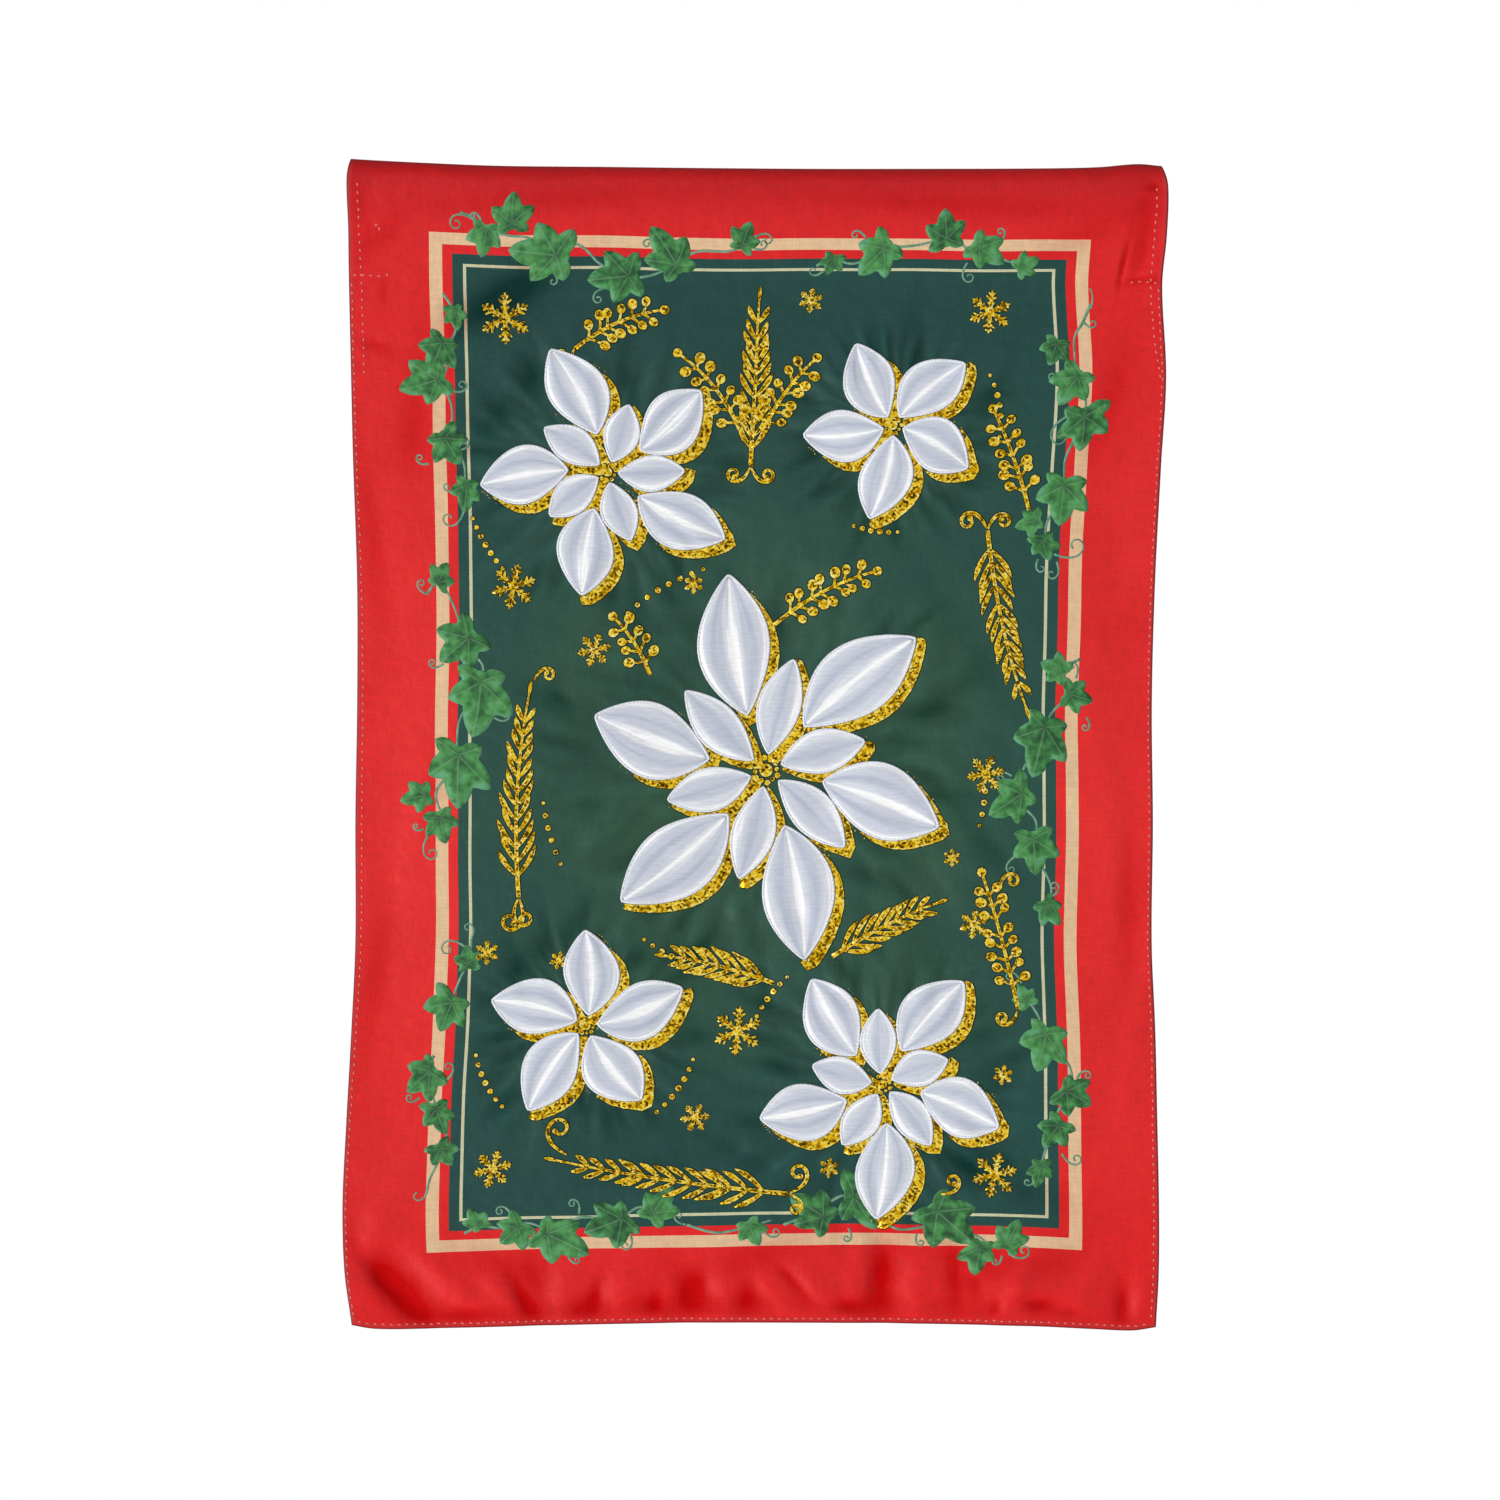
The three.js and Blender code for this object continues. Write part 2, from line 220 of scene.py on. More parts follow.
def petalEnd(bloom, ringName, k):
    # no two petals of a bloom are quite as long
    uneven = 1 + petalShape["uneven"] * math.sin(petalShape["unevenTurn"] * k + bloom.turn)
    return petalRings[ringName].end * uneven


def petalPlace(bloom, ringName, k, s, t):
    # s from edge to edge, -1 to 1, and t from the petal's foot to its point
    ring = petalRings[ringName]
    out = ring.start * bloom.reach + (petalEnd(bloom, ringName, k) - ring.start) * bloom.reach * t
    swell = np.sin(np.pi * np.clip(t, 0, 1)) ** petalShape["point"]
    width = s * ring.half[bloom.petals] * bloom.reach * swell
    heading = bloom.turn + 360 * (k + (0.5 if ringName == "outer" else 0)) / bloom.petals
    angle = np.radians(heading + bloom.swirl * out / bloom.reach)
    across = bloom.across + out * np.sin(angle) + width * np.cos(angle)
    down = bloom.down - out * np.cos(angle) + width * np.sin(angle)
    return across, down


def petalsOf(bloom):
    return [(bloom, ringName, k) for ringName in bloom.rings for k in range(bloom.petals)]


everyPetal = [petal for bloom in blooms for petal in petalsOf(bloom)]

# short pulls in the cloth round each sewn bloom, ahead of its petals' points and between them
puckerBuild = {
    "perPetal": 6,
    "stray": 0.3,  # share of a step round the bloom
    "out": (0.72, 1.16),  # shares of the reach
    "lean": 16,
    "length": (12, 28), "width": (5, 7.5), "depth": (1.0, 2.5),
    "ways": (-1, 1, 1),  # one in three comes out of the face, the others go in
}


def makePuckers():
    rows = []
    stray, lean = puckerBuild["stray"], puckerBuild["lean"]
    for bloom in blooms:
        count = bloom.petals * puckerBuild["perPetal"]
        for k in range(count):
            heading = math.radians(bloom.turn + 360 * (k + draw.uniform(-stray, stray)) / count)
            out = bloom.reach * draw.uniform(*puckerBuild["out"])
            across = bloom.across + out * math.sin(heading)
            down = bloom.down - out * math.cos(heading)
            leaning = 90 - math.degrees(heading) + draw.uniform(-lean, lean)
            length, width = draw.uniform(*puckerBuild["length"]), draw.uniform(*puckerBuild["width"])
            depth = draw.choice(puckerBuild["ways"]) * draw.uniform(*puckerBuild["depth"])
            rows.append((across, down, leaning, length, width, depth))
    return rows


puckers = makePuckers()


def creaseDepth(across, down):
    # the hem at the foot is doubled, so the fine creases run out in it
    above, over, least = cloth["creaseFoot"]
    free = np.clip((cloth["height"] - down - above) / over, least, 1)
    return foldDepth(creases + puckers, across, down) * free


# where stitching draws the cloth in: shares of a bloom's reach, each with the stretch over which it fades
drawIn = {"end": (1.4, 0.45), "start": (0.3, 0.3), "between": (0.1, 0.3)}


def drawnIn(across, down):
    # where each point lies from the heart of the nearest bloom, and how hard its stitching pulls there
    out = np.stack([np.hypot(across - bloom.across, down - bloom.down) / bloom.reach for bloom in blooms])
    heart = np.array([(bloom.across, bloom.down) for bloom in blooms], float)[np.argmin(out, axis=0)]
    out, other = np.sort(out, axis=0)[:2]
    (end, endFade), (start, startFade), (clear, clearFade) = drawIn.values()
    pull = np.clip((end - out) / endFade, 0, 1) * np.clip((out - start) / startFade, 0, 1)
    pull *= np.clip((other - out - clear) / clearFade, 0, 1)
    return np.column_stack([across - heart[:, 0], down - heart[:, 1]]) * mm, pull


def depthAt(across, down):
    depth = np.zeros_like(across)
    for atAcross, atDown, wide, tall, deep in swells:
        depth += deep * np.exp(-((across - atAcross) / wide) ** 2 - ((down - atDown) / tall) ** 2)
    return depth + foldDepth(folds, across, down) + creaseDepth(across, down)


def wallHalf(down):
    radius, drop = cloth["sleeveRadius"], cloth["sleeveDrop"]
    share = np.clip((down - radius) / (drop - radius), 0, 1)
    half = radius + (cloth["seamHalf"] - radius) * share
    below = np.clip((down - drop) / cloth["easeBelowSeam"], 0, 1)
    return half + (cloth["panelHalf"] - cloth["seamHalf"]) * below * below * (3 - 2 * below)


def unevenSteps(strips, end):
    ends = [start for start, count in strips[1:]] + [end]
    steps = [np.linspace(start, stop, count, endpoint=False) for (start, count), stop in zip(strips, ends)]
    return np.append(np.concatenate(steps), end)


def clothRows():
    # up the face, over the pole fold and down the back: each row's place, depth and run along the cloth
    radius, height = cloth["sleeveRadius"], cloth["height"]
    front = unevenSteps(cloth["rows"], radius)
    angle = np.linspace(0, math.pi, cloth["foldRows"] + 1)[1:]
    back = np.linspace(radius, cloth["sleeveDrop"] + cloth["sleeveTail"], cloth["backRows"] + 1)[1:]
    down = np.concatenate([front, radius * (1 - np.sin(angle)), back])
    offset = np.concatenate([-wallHalf(front), -radius * np.cos(angle), wallHalf(back)])
    top = height - radius
    run = np.concatenate([height - front, top + radius * angle, top + math.pi * radius + back - radius])
    return down, offset, run


rowDown, rowOffset, rowRun = clothRows()
columnAcross = unevenSteps(cloth["columns"], cloth["width"])


def clothPoints():
    across, down = np.meshgrid(columnAcross, rowDown)
    x, z = hang(across, down)
    y = depthAt(across, down) + rowOffset[:, None]
    return np.stack([x, y, z], axis=2)


clothGrid = clothPoints()
faceRows = sum(count for start, count in cloth["rows"]) + 1
faceGrid = clothGrid[:faceRows]


def gridNormals(points):
    alongAcross = np.gradient(points, axis=1)
    alongUp = np.gradient(points, axis=0)
    normal = np.cross(alongAcross, alongUp)
    return normal / np.linalg.norm(normal, axis=2, keepdims=True)


faceNormals = gridNormals(faceGrid)


def onCloth(flat):
    # flat places (across, minus down, proud of the face) to where they hang, in metres
    across, down, proud = flat[:, 0], -flat[:, 1], flat[:, 2]
    column = np.interp(across, columnAcross, np.arange(len(columnAcross)))
    row = np.interp(-down, -rowDown[:faceRows], np.arange(faceRows))
    c = np.clip(np.floor(column).astype(int), 0, len(columnAcross) - 2)
    r = np.clip(np.floor(row).astype(int), 0, faceRows - 2)
    a, b = (column - c)[:, None], (row - r)[:, None]

    def blend(grid):
        low = grid[r, c] * (1 - a) + grid[r, c + 1] * a
        high = grid[r + 1, c] * (1 - a) + grid[r + 1, c + 1] * a
        return low * (1 - b) + high * b

    normal = blend(faceNormals)
    normal /= np.linalg.norm(normal, axis=1, keepdims=True)
    return (blend(faceGrid) + normal * proud[:, None]) * mm


# turning flat parts into hung pieces

templates = {}


def gridTemplate(columns, rows):
    # unit grid, made once for each size: u across 0 to 1, v up 0 to 1
    if (columns, rows) not in templates:
        bm = bmesh.new()
        bmesh.ops.create_grid(bm, x_segments=columns, y_segments=rows, size=0.5)
        points, faces = readOut(bm)
        templates[(columns, rows)] = points[:, :2] + 0.5, faces
    return templates[(columns, rows)]


def readOut(bm):
    # a shape's points and faces
    points = np.array([v.co[:] for v in bm.verts])
    faces = [[v.index for v in face.verts] for face in bm.faces]
    bm.free()
    return points, faces


def runAlong(line):
    # how far along a line each of its points lies
    return np.concatenate([[0], np.cumsum(np.linalg.norm(np.diff(line, axis=0), axis=1))])


def part(points, faces, own=None, shade=None):
    # flat places with their faces, and what the piece's own UV layers hold there
    own = points[:, :2] if own is None else own
    shade = np.zeros((len(points), 2)) if shade is None else shade
    return {"points": points, "faces": faces, "own": own, "shade": shade}


def stripPart(path, half, profile):
    # a ribbon along a path; each row of its profile is (share of the half width, mm past that, proud)
    path = np.array(path, float)
    step = np.gradient(path, axis=0)
    step /= np.maximum(np.linalg.norm(step, axis=1, keepdims=True), 1e-9)
    side = np.stack([step[:, 1], -step[:, 0]], axis=1)
    run = runAlong(path)
    uv, faces = gridTemplate(len(profile) - 1, len(path) - 1)
    k = np.rint(uv[:, 1] * (len(path) - 1)).astype(int)
    share, past, proud = np.array(profile, float)[np.rint(uv[:, 0] * (len(profile) - 1)).astype(int)].T
    half = np.broadcast_to(half, len(path))
    flat = path[k] + side[k] * (share * half[k] + past)[:, None]
    # its own UV: -1 to 1 from edge to edge and 1.5 on an outer rim, and metres along it
    own = np.column_stack([share + 0.5 * np.sign(past), run[k] * mm])
    return part(np.column_stack([flat, proud]), faces, own)


def level(proud):
    # the profile of a ribbon that lies flat
    return [(-1, 0, proud), (1, 0, proud)]


def placed(x, y, proud, place, heading):
    # a flat shape turned by its heading, clockwise from up, and carried to its place, across and minus down
    turn = math.radians(heading)
    right = place[0] + x * math.cos(turn) + y * math.sin(turn)
    up = place[1] + y * math.cos(turn) - x * math.sin(turn)
    return np.column_stack([right, up, np.broadcast_to(proud, x.shape)])


def discPart(place, radius, profile, segments=10, stretch=1.0, heading=0.0):
    # a round spot, its profile given from the middle out
    uv, faces = gridTemplate(segments, len(profile) - 1)
    share, past, proud = np.array(profile, float)[np.rint(uv[:, 1] * (len(profile) - 1)).astype(int)].T
    angle, out = uv[:, 0] * math.tau, share * radius + past
    flat = placed(out * np.sin(angle), out * np.cos(angle) * stretch, proud, place, heading)
    return part(flat, faces, np.column_stack([share + 0.5 * np.sign(past), angle * radius * mm]))


def makePiece(name, points, faces, layers, material):
    # points in metres, and a UV layer for each set of values that they carry
    mesh = bpy.data.meshes.new(name)
    mesh.from_pydata(points.tolist(), [], faces)
    corner = np.empty(len(mesh.loops), np.int32)
    mesh.loops.foreach_get("vertex_index", corner)
    for layer, values in layers.items():
        mesh.uv_layers.new(name=layer).data.foreach_set("uv", values[corner].astype(np.float32).ravel())
    mesh.materials.append(material)
    piece = bpy.data.objects.new(name, mesh)
    bpy.context.collection.objects.link(piece)
    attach(piece, "root")
    return piece


def thicken(piece, thickness):
    shell = piece.modifiers.new("thickness", "SOLIDIFY")
    shell.thickness = thickness * mm
    shell.offset = -1
    return shell


weldWithin = 0.002  # points nearer than this are one


def buildPiece(name, parts, material, closed=False, film=0.0):
    # one piece of many flat parts, hung on the cloth and welded
    starts = np.cumsum([0] + [len(p["points"]) for p in parts])
    flat = np.concatenate([p["points"] for p in parts])
    faces = [[i + start for i in face] for p, start in zip(parts, starts) for face in p["faces"]]
    layers = {"flat": np.column_stack([flat[:, 0], cloth["height"] + flat[:, 1]]) * mm}
    for layer in ("own", "shade"):
        layers[layer] = np.concatenate([p[layer] for p in parts])
    piece = makePiece(name, onCloth(flat), faces, layers, material)
    bm = bmesh.new()
    bm.from_mesh(piece.data)
    bmesh.ops.remove_doubles(bm, verts=bm.verts, dist=weldWithin * mm)
    if closed:
        bmesh.ops.recalc_face_normals(bm, faces=bm.faces)
    for face in bm.faces:
        face.smooth = True
    bm.to_mesh(piece.data)
    bm.free()
    if film:
        thicken(piece, film)
    return piece


# materials


def linear(code):
    channels = [int(code[i:i + 2], 16) / 255 for i in (1, 3, 5)]
    return [c / 12.92 if c <= 0.04045 else ((c + 0.055) / 1.055) ** 2.4 for c in channels] + [1]


def plug(tree, node, links):
    # fill a node's inputs, by name or number, with a value, a socket or another node's first result
    for key, value in links.items():
        if isinstance(value, bpy.types.Node):
            value = next(result for result in value.outputs if result.enabled)
        if isinstance(value, bpy.types.NodeSocket):
            tree.links.new(value, node.inputs[key])
        else:
            node.inputs[key].default_value = value


def addNode(tree, kind, links=None, **settings):
    # settings are the node's own
    node = tree.nodes.new("ShaderNode" + kind)
    for key, value in settings.items():
        setattr(node, key, value)
    plug(tree, node, links or {})
    return node


def startMaterial(name):
    material = bpy.data.materials.new(name)
    material.use_nodes = True
    tree = material.node_tree
    return material, tree, next(node for node in tree.nodes if node.type == "BSDF_PRINCIPLED")


def setRamp(node, stops, interpolation="LINEAR"):
    # colours by their place on a ramp node, and the socket that gives them
    ramp = node.color_ramp
    ramp.interpolation = interpolation
    while len(ramp.elements) < len(stops):
        ramp.elements.new(1.0)
    for element, (position, colour) in zip(ramp.elements, stops):
        element.position = position
        element.color = linear(colour)
    return node.outputs["Color"]


def perMm(size):
    # a noise texture's scale on coordinates in metres, for marks about this many millimetres apart
    return 1000 / size


colourMix = {"data_type": "RGBA"}  # settings of a mix node
colourMultiply = {"data_type": "RGBA", "blend_type": "MULTIPLY"}

printedCloth = {
    # frame lines from the cloth's edges at the start and end of each side, mm
    "left": (69.6, 72.0), "right": (65.3, 67.9), "top": (60.0, 63.8), "bottom": (64.5, 69.4),
    # where each band of the frame starts, in from its outer line, mm
    "cream": 0.0, "innerRed": 11.4, "green": 20.2, "thinCream": 29.6, "field": 32.4,
    "narrower": {"left": 1.0, "right": 1.0, "top": 1.13, "bottom": 1.09},  # bands' share at each edge
    "wander": 2.4, "wanderOver": 190,  # how far the lines stray, and over what length, mm
    "creamColour": "#dcc096", "creamWarm": "#e0b992", "thinCreamColour": "#c6c7a2",
    "outerGreen": "#1c4a45",  # the field is bluer towards the frame than in the middle
    "redHollowShade": "#dd8692", "greenHollowShade": "#b8c0bc",  # painted shade: what light loses in a hollow
    # the fold's colour is painted shade along the hem's folded edge
    "hemColour": "#b93335", "foldShade": "#66060f",
    "cloud": 120, "mottle": 6,  # sizes of the dye's unevenness, mm
    "crumple": 24, "crumpleDeep": 1.9,
    "hemBand": 4.4, "fold": 1.9,  # the doubled hem outside its stitching, and its folded edge that takes painted shade, mm
    "pleatRing": 105, "pleat": 12,  # fine pleats: this far apart on a ring of this radius, mm
    "pleatDeep": 2.8,
    "thread": 1.5, "threadDeep": 0.06,  # a yarn is 0.25 mm, far too fine to show, so it is drawn this coarse
}
# each dye: the heights that its tones run over, m, and what its clouds deepen it to, from, to and how far
dyes = [
    {"heights": (0.0, 1.13), "deep": "#d01115", "clouds": (0.4, 0.7, 0.55), "tones": [
        (0.0, "#de1014"), (0.05, "#de1115"), (0.11, "#e21d1e"), (0.35, "#e32223"), (0.6, "#e12122"),
        # from 0.85 on, the red darkens towards and over the top fold: painted shade where the cloth turns
        # back over the pole
        (0.8, "#dd1a1d"), (0.85, "#d8171b"), (0.872, "#c90f15"), (0.888, "#bb0b12"), (1.0, "#b70b12"),
    ]},
    {"heights": (0.06, 0.95), "deep": "#1a4640", "clouds": (0.42, 0.66, 0.5), "tones": [
        (0.0, "#16433d"), (0.14, "#1b4840"), (0.24, "#295142"), (0.43, "#2e5540"), (0.61, "#2c5342"),
        (0.79, "#254d43"), (0.906, "#1c4540"), (1.0, "#103a38"),
    ]},
]


def makeBannerMaterial():
    # dyed and printed polyester poplin: close matt weave with a faint sheen where it folds
    material, tree, shader = startMaterial("printed_polyester_poplin")
    flat = addNode(tree, "UVMap", uv_map="flat")
    u, v = addNode(tree, "SeparateXYZ", {0: flat}).outputs[:2]
    width, height = cloth["width"] * mm, cloth["height"] * mm
    fromTop = addNode(tree, "Math", {0: height, 1: v}, operation="SUBTRACT")
    fromRight = addNode(tree, "Math", {0: width, 1: u}, operation="SUBTRACT")

    # distance in from the frame's outer line, whose four sides slant a little
    inside = 1.0
    for edge, along, length, fromEdge in (
        ("left", fromTop, height, u), ("right", fromTop, height, fromRight),
        ("top", u, width, fromTop), ("bottom", u, width, v),
    ):
        start, end = (d * mm for d in printedCloth[edge])
        slant = (start - end) / length
        line = addNode(tree, "Math", {0: along, 1: slant, 2: fromEdge}, operation="MULTIPLY_ADD")
        line = addNode(tree, "Math", {0: line, 1: start}, operation="SUBTRACT")
        line = addNode(tree, "Math", {0: line, 1: printedCloth["narrower"][edge]}, operation="MULTIPLY")
        inside = addNode(tree, "Math", {0: inside, 1: line}, operation="MINIMUM")
    stray = {"Vector": flat, "Scale": perMm(printedCloth["wanderOver"]), "Detail": 1.0}
    stray = addNode(tree, "TexNoise", stray)
    wander = printedCloth["wander"] * mm
    stray = addNode(tree, "MapRange", {0: stray, 1: 0.2, 2: 0.8, 3: -wander, 4: wander})
    inside = addNode(tree, "Math", {0: inside, 1: stray})
    # the frame's cream and green bands, as masks in the red and green channels of a ramp 100 mm long
    bands = [(0, "#000000")] + [(max(printedCloth[key], 0.05) / 100, code) for key, code in (
        ("cream", "#ff0000"), ("innerRed", "#000000"), ("green", "#00ff00"), ("thinCream", "#ff0000"),
        ("field", "#00ff00"),
    )]
    along = addNode(tree, "Math", {0: inside, 1: 10.0}, operation="MULTIPLY")
    masks = setRamp(addNode(tree, "ValToRGB", {0: along}), bands, "CONSTANT")
    onCream, onGreen = addNode(tree, "SeparateColor", {0: masks}).outputs[:2]

    # the dye is a little uneven, in broad clouds; the red's tones by height also carry painted shade over the
    # top fold
    clouds = addNode(tree, "TexNoise", {"Vector": flat, "Scale": perMm(printedCloth["cloud"]), "Detail": 3.0})
    dyed = []
    for dye in dyes:
        low, high = dye["heights"]
        at = addNode(tree, "MapRange", {0: v, 1: low, 2: high})
        tone = setRamp(addNode(tree, "ValToRGB", {0: at}), dye["tones"])
        start, end, most = dye["clouds"]
        cloudy = addNode(tree, "MapRange", {0: clouds, 1: start, 2: end, 4: most})
        dyed.append(addNode(tree, "Mix", {0: cloudy, 6: tone, 7: linear(dye["deep"])}, **colourMix))
    colour, green = dyed
    outer = addNode(tree, "MapRange", {0: inside, 1: 0.03, 2: 0.13, 3: 0.7, 4: 0.0})
    green = addNode(tree, "Mix", {0: outer, 6: green, 7: linear(printedCloth["outerGreen"])}, **colourMix)
    cream = linear(printedCloth["creamColour"])
    thin = addNode(tree, "Math", {0: inside, 1: 0.025}, operation="GREATER_THAN")
    for share, key in ((clouds, "creamWarm"), (thin, "thinCreamColour")):
        cream = addNode(tree, "Mix", {0: share, 6: cream, 7: linear(printedCloth[key])}, **colourMix)
    for share, over in ((onGreen, green), (onCream, cream)):
        colour = addNode(tree, "Mix", {0: share, 6: colour, 7: over}, **colourMix)

    # yarns: noise stretched along the warp and along the weft, with a fine mottle of the dye
    weave, close = 0.0, perMm(printedCloth["thread"])
    for stretch in ((1.0, 0.07, 1.0), (0.07, 1.0, 1.0)):
        yarn = addNode(tree, "Mapping", {0: flat, 3: stretch})
        yarn = addNode(tree, "TexNoise", {"Vector": yarn, "Scale": close, "Detail": 2.0})
        weave = addNode(tree, "Math", {0: weave, 1: yarn})
    mottle = {"Vector": flat, "Scale": perMm(printedCloth["mottle"]), "Detail": 4.0}
    mottle = addNode(tree, "TexNoise", mottle)
    tone = addNode(tree, "Math", {0: mottle, 1: 0.8, 2: weave}, operation="MULTIPLY_ADD")
    tone = addNode(tree, "MapRange", {0: tone, 1: 0.9, 2: 1.9, 3: 0.86, 4: 1.14})

    # the satin's stitching draws the cloth in, and fine pleats run out from every bloom
    hollow, pull = addNode(tree, "SeparateXYZ", {0: addNode(tree, "UVMap", uv_map="hollow")}).outputs[:2]
    drawn = addNode(tree, "UVMap", uv_map="drawn")
    ring = addNode(tree, "VectorMath", {0: drawn}, operation="NORMALIZE")
    ring = addNode(tree, "VectorMath", {0: ring, "Scale": printedCloth["pleatRing"] * mm}, operation="SCALE")
    out = addNode(tree, "VectorMath", {0: drawn}, operation="LENGTH")
    out = addNode(tree, "Math", {0: out, 1: 0.4}, operation="MULTIPLY")  # a pleat is longer than wide
    ring = addNode(tree, "VectorMath", {0: ring, 1: addNode(tree, "CombineXYZ", {2: out})})
    pleats = addNode(tree, "TexNoise", {"Vector": ring, "Scale": perMm(printedCloth["pleat"]), "Detail": 0.0})
    pleats = addNode(tree, "Math", {0: pleats, 1: 0.5}, operation="SUBTRACT")
    pleats = addNode(tree, "Math", {0: pleats, 1: pull}, operation="MULTIPLY")
    # painted light and shade: the colour is lightened on the pleats' ridges and darkened between them
    lit = addNode(tree, "MapRange", {0: pleats, 1: -0.2, 2: 0.2, 3: 0.91, 4: 1.19})
    # painted shade: light that reaches into a hollow has bounced from cloth to cloth, so the colour is
    # darkened and deepened there
    sunk = addNode(tree, "MapRange", {0: hollow, 1: -0.06, 2: 0.85})
    redHollowShade, greenHollowShade = (linear(printedCloth[key]) for key in ("redHollowShade", "greenHollowShade"))
    hollowShade = addNode(tree, "Mix", {0: onGreen, 6: redHollowShade, 7: greenHollowShade}, **colourMix)
    for share, over in ((1.0, tone), (1.0, lit), (sunk, hollowShade)):
        colour = addNode(tree, "Mix", {0: share, 6: colour, 7: over}, **colourMultiply)
    # the hem is doubled, so its red looks flatter; where it folds over at the very edge, painted shade
    # darkens it as the light leaves it
    edge = addNode(tree, "Math", {0: u, 1: fromRight}, operation="MINIMUM")
    edge = addNode(tree, "Math", {0: edge, 1: v}, operation="MINIMUM")
    band, fold = printedCloth["hemBand"] * mm, printedCloth["fold"] * mm
    flatter = addNode(tree, "MapRange", {0: edge, 1: band * 0.8, 2: band, 3: 0.45, 4: 0.0})
    turned = addNode(tree, "MapRange", {0: edge, 2: fold, 3: 0.95, 4: 0.0})
    for share, key in ((flatter, "hemColour"), (turned, "foldShade")):
        colour = addNode(tree, "Mix", {0: share, 6: colour, 7: linear(printedCloth[key])}, **colourMix)

    # soft crumples, then the pleats, then the weave
    crumple = {"Vector": flat, "Scale": perMm(printedCloth["crumple"]), "Detail": 5.0}
    relief = {"Height": addNode(tree, "TexNoise", crumple), "Distance": printedCloth["crumpleDeep"] * mm}
    relief = addNode(tree, "Bump", relief)
    for rise, key in ((pleats, "pleatDeep"), (weave, "threadDeep")):
        relief = {"Height": rise, "Distance": printedCloth[key] * mm, "Normal": relief}
        relief = addNode(tree, "Bump", relief)
    plug(tree, shader, {
        "Base Color": colour, "Roughness": 0.56, "IOR": 1.5, "Sheen Weight": 0.03, "Sheen Roughness": 0.4,
        "Specular IOR Level": addNode(tree, "MapRange", {0: sunk, 3: 0.3, 4: 0.03}),  # less gloss in a hollow
        "Normal": relief,
    })
    return material


satinLook = {
    "streaks": (2.6, 14.0),  # across a lobe and along it
    "float": (12, 1.8), "floatDeep": 0.14,  # mm; real floats are 0.2 wide, drawn this coarse to show as rungs
    # the palest tones, at a lobe's edge, are painted sheen
    "tones": [
        (0.0, "#b9c0d0"), (0.25, "#c5cbd9"), (0.6, "#d3d7e2"), (0.82, "#e2e5ec"), (0.9, "#f8f9fc"),
        (0.95, "#ffffff"),
    ],
}


def makeSatinMaterial():
    # white polyester satin over thin wadding: a soft bluish grey down each lobe, with a painted sheen that
    # brightens it along its edge
    material, tree, shader = startMaterial("white_polyester_satin")
    flat, own = addNode(tree, "UVMap", uv_map="flat"), addNode(tree, "UVMap", uv_map="own")
    off = addNode(tree, "Math", {0: addNode(tree, "SeparateXYZ", {0: own})}, operation="ABSOLUTE")
    streaks = addNode(tree, "Mapping", {0: own, 3: (*satinLook["streaks"], 1.0)})
    streaks = addNode(tree, "TexNoise", {"Vector": streaks, "Scale": 1.0, "Detail": 4.0})
    # painted sheen: the colour runs up to white towards each lobe's edge
    inside = addNode(tree, "MapRange", {0: off, 1: 0.75, 2: 0.95, 3: 0.5, 4: 0.0})
    shifted = addNode(tree, "Math", {0: streaks, 1: 0.45}, operation="SUBTRACT")
    shifted = addNode(tree, "Math", {0: shifted, 1: 2.4}, operation="MULTIPLY")
    reach = addNode(tree, "Math", {0: shifted, 1: inside, 2: off}, operation="MULTIPLY_ADD")
    satin = setRamp(addNode(tree, "ValToRGB", {0: reach}), satinLook["tones"])
    # cut with the weave level, whichever way the petal points
    long, wide = satinLook["float"]
    floats = addNode(tree, "Mapping", {0: flat, 3: (perMm(long), perMm(wide), 1.0)})
    floats = addNode(tree, "TexNoise", {"Vector": floats, "Scale": 1.0, "Detail": 2.0})
    tone = addNode(tree, "MapRange", {0: floats, 1: 0.3, 2: 0.7, 3: 0.91, 4: 1.05})
    plug(tree, shader, {
        "Base Color": addNode(tree, "Mix", {0: 1.0, 6: satin, 7: tone}, **colourMultiply),
        "Roughness": 0.5, "Specular IOR Level": 0.35, "Sheen Weight": 0.1,
        "Normal": addNode(tree, "Bump", {"Height": floats, "Distance": satinLook["floatDeep"] * mm}),
    })
    return material


def makeThreadMaterial(name, light, dark, pitch, sunk=0.0):
    # spun polyester sewing thread: soft gloss, darker between turns, and with painted shade where it goes
    # into the cloth
    material, tree, shader = startMaterial(name)
    own = addNode(tree, "UVMap", uv_map="own")
    strands = addNode(tree, "Mapping", {0: own, 3: (0.35, perMm(pitch), 1.0)})
    strands = addNode(tree, "TexNoise", {"Vector": strands, "Scale": 1.0, "Detail": 1.0})
    tone = setRamp(addNode(tree, "ValToRGB", {0: strands}), [(0.35, dark), (0.6, light)])
    # painted shade: each stitch darkens towards its ends, where it dips into the cloth
    if sunk:
        ends = addNode(tree, "SeparateXYZ", {0: own}).outputs[1]
        ends = addNode(tree, "Math", {0: ends}, operation="ABSOLUTE")
        ends = addNode(tree, "MapRange", {0: ends, 1: sunk * 0.5 * mm, 2: sunk * 0.8 * mm})
        tone = addNode(tree, "Mix", {0: ends, 6: tone, 7: linear("#8c0d14")}, **colourMix)
    plug(tree, shader, {
        "Base Color": tone, "Roughness": 0.5, "Specular IOR Level": 0.4,
        "Normal": addNode(tree, "Bump", {"Height": strands, "Distance": 0.15 * mm, "Strength": 1.0}),
    })
    return material


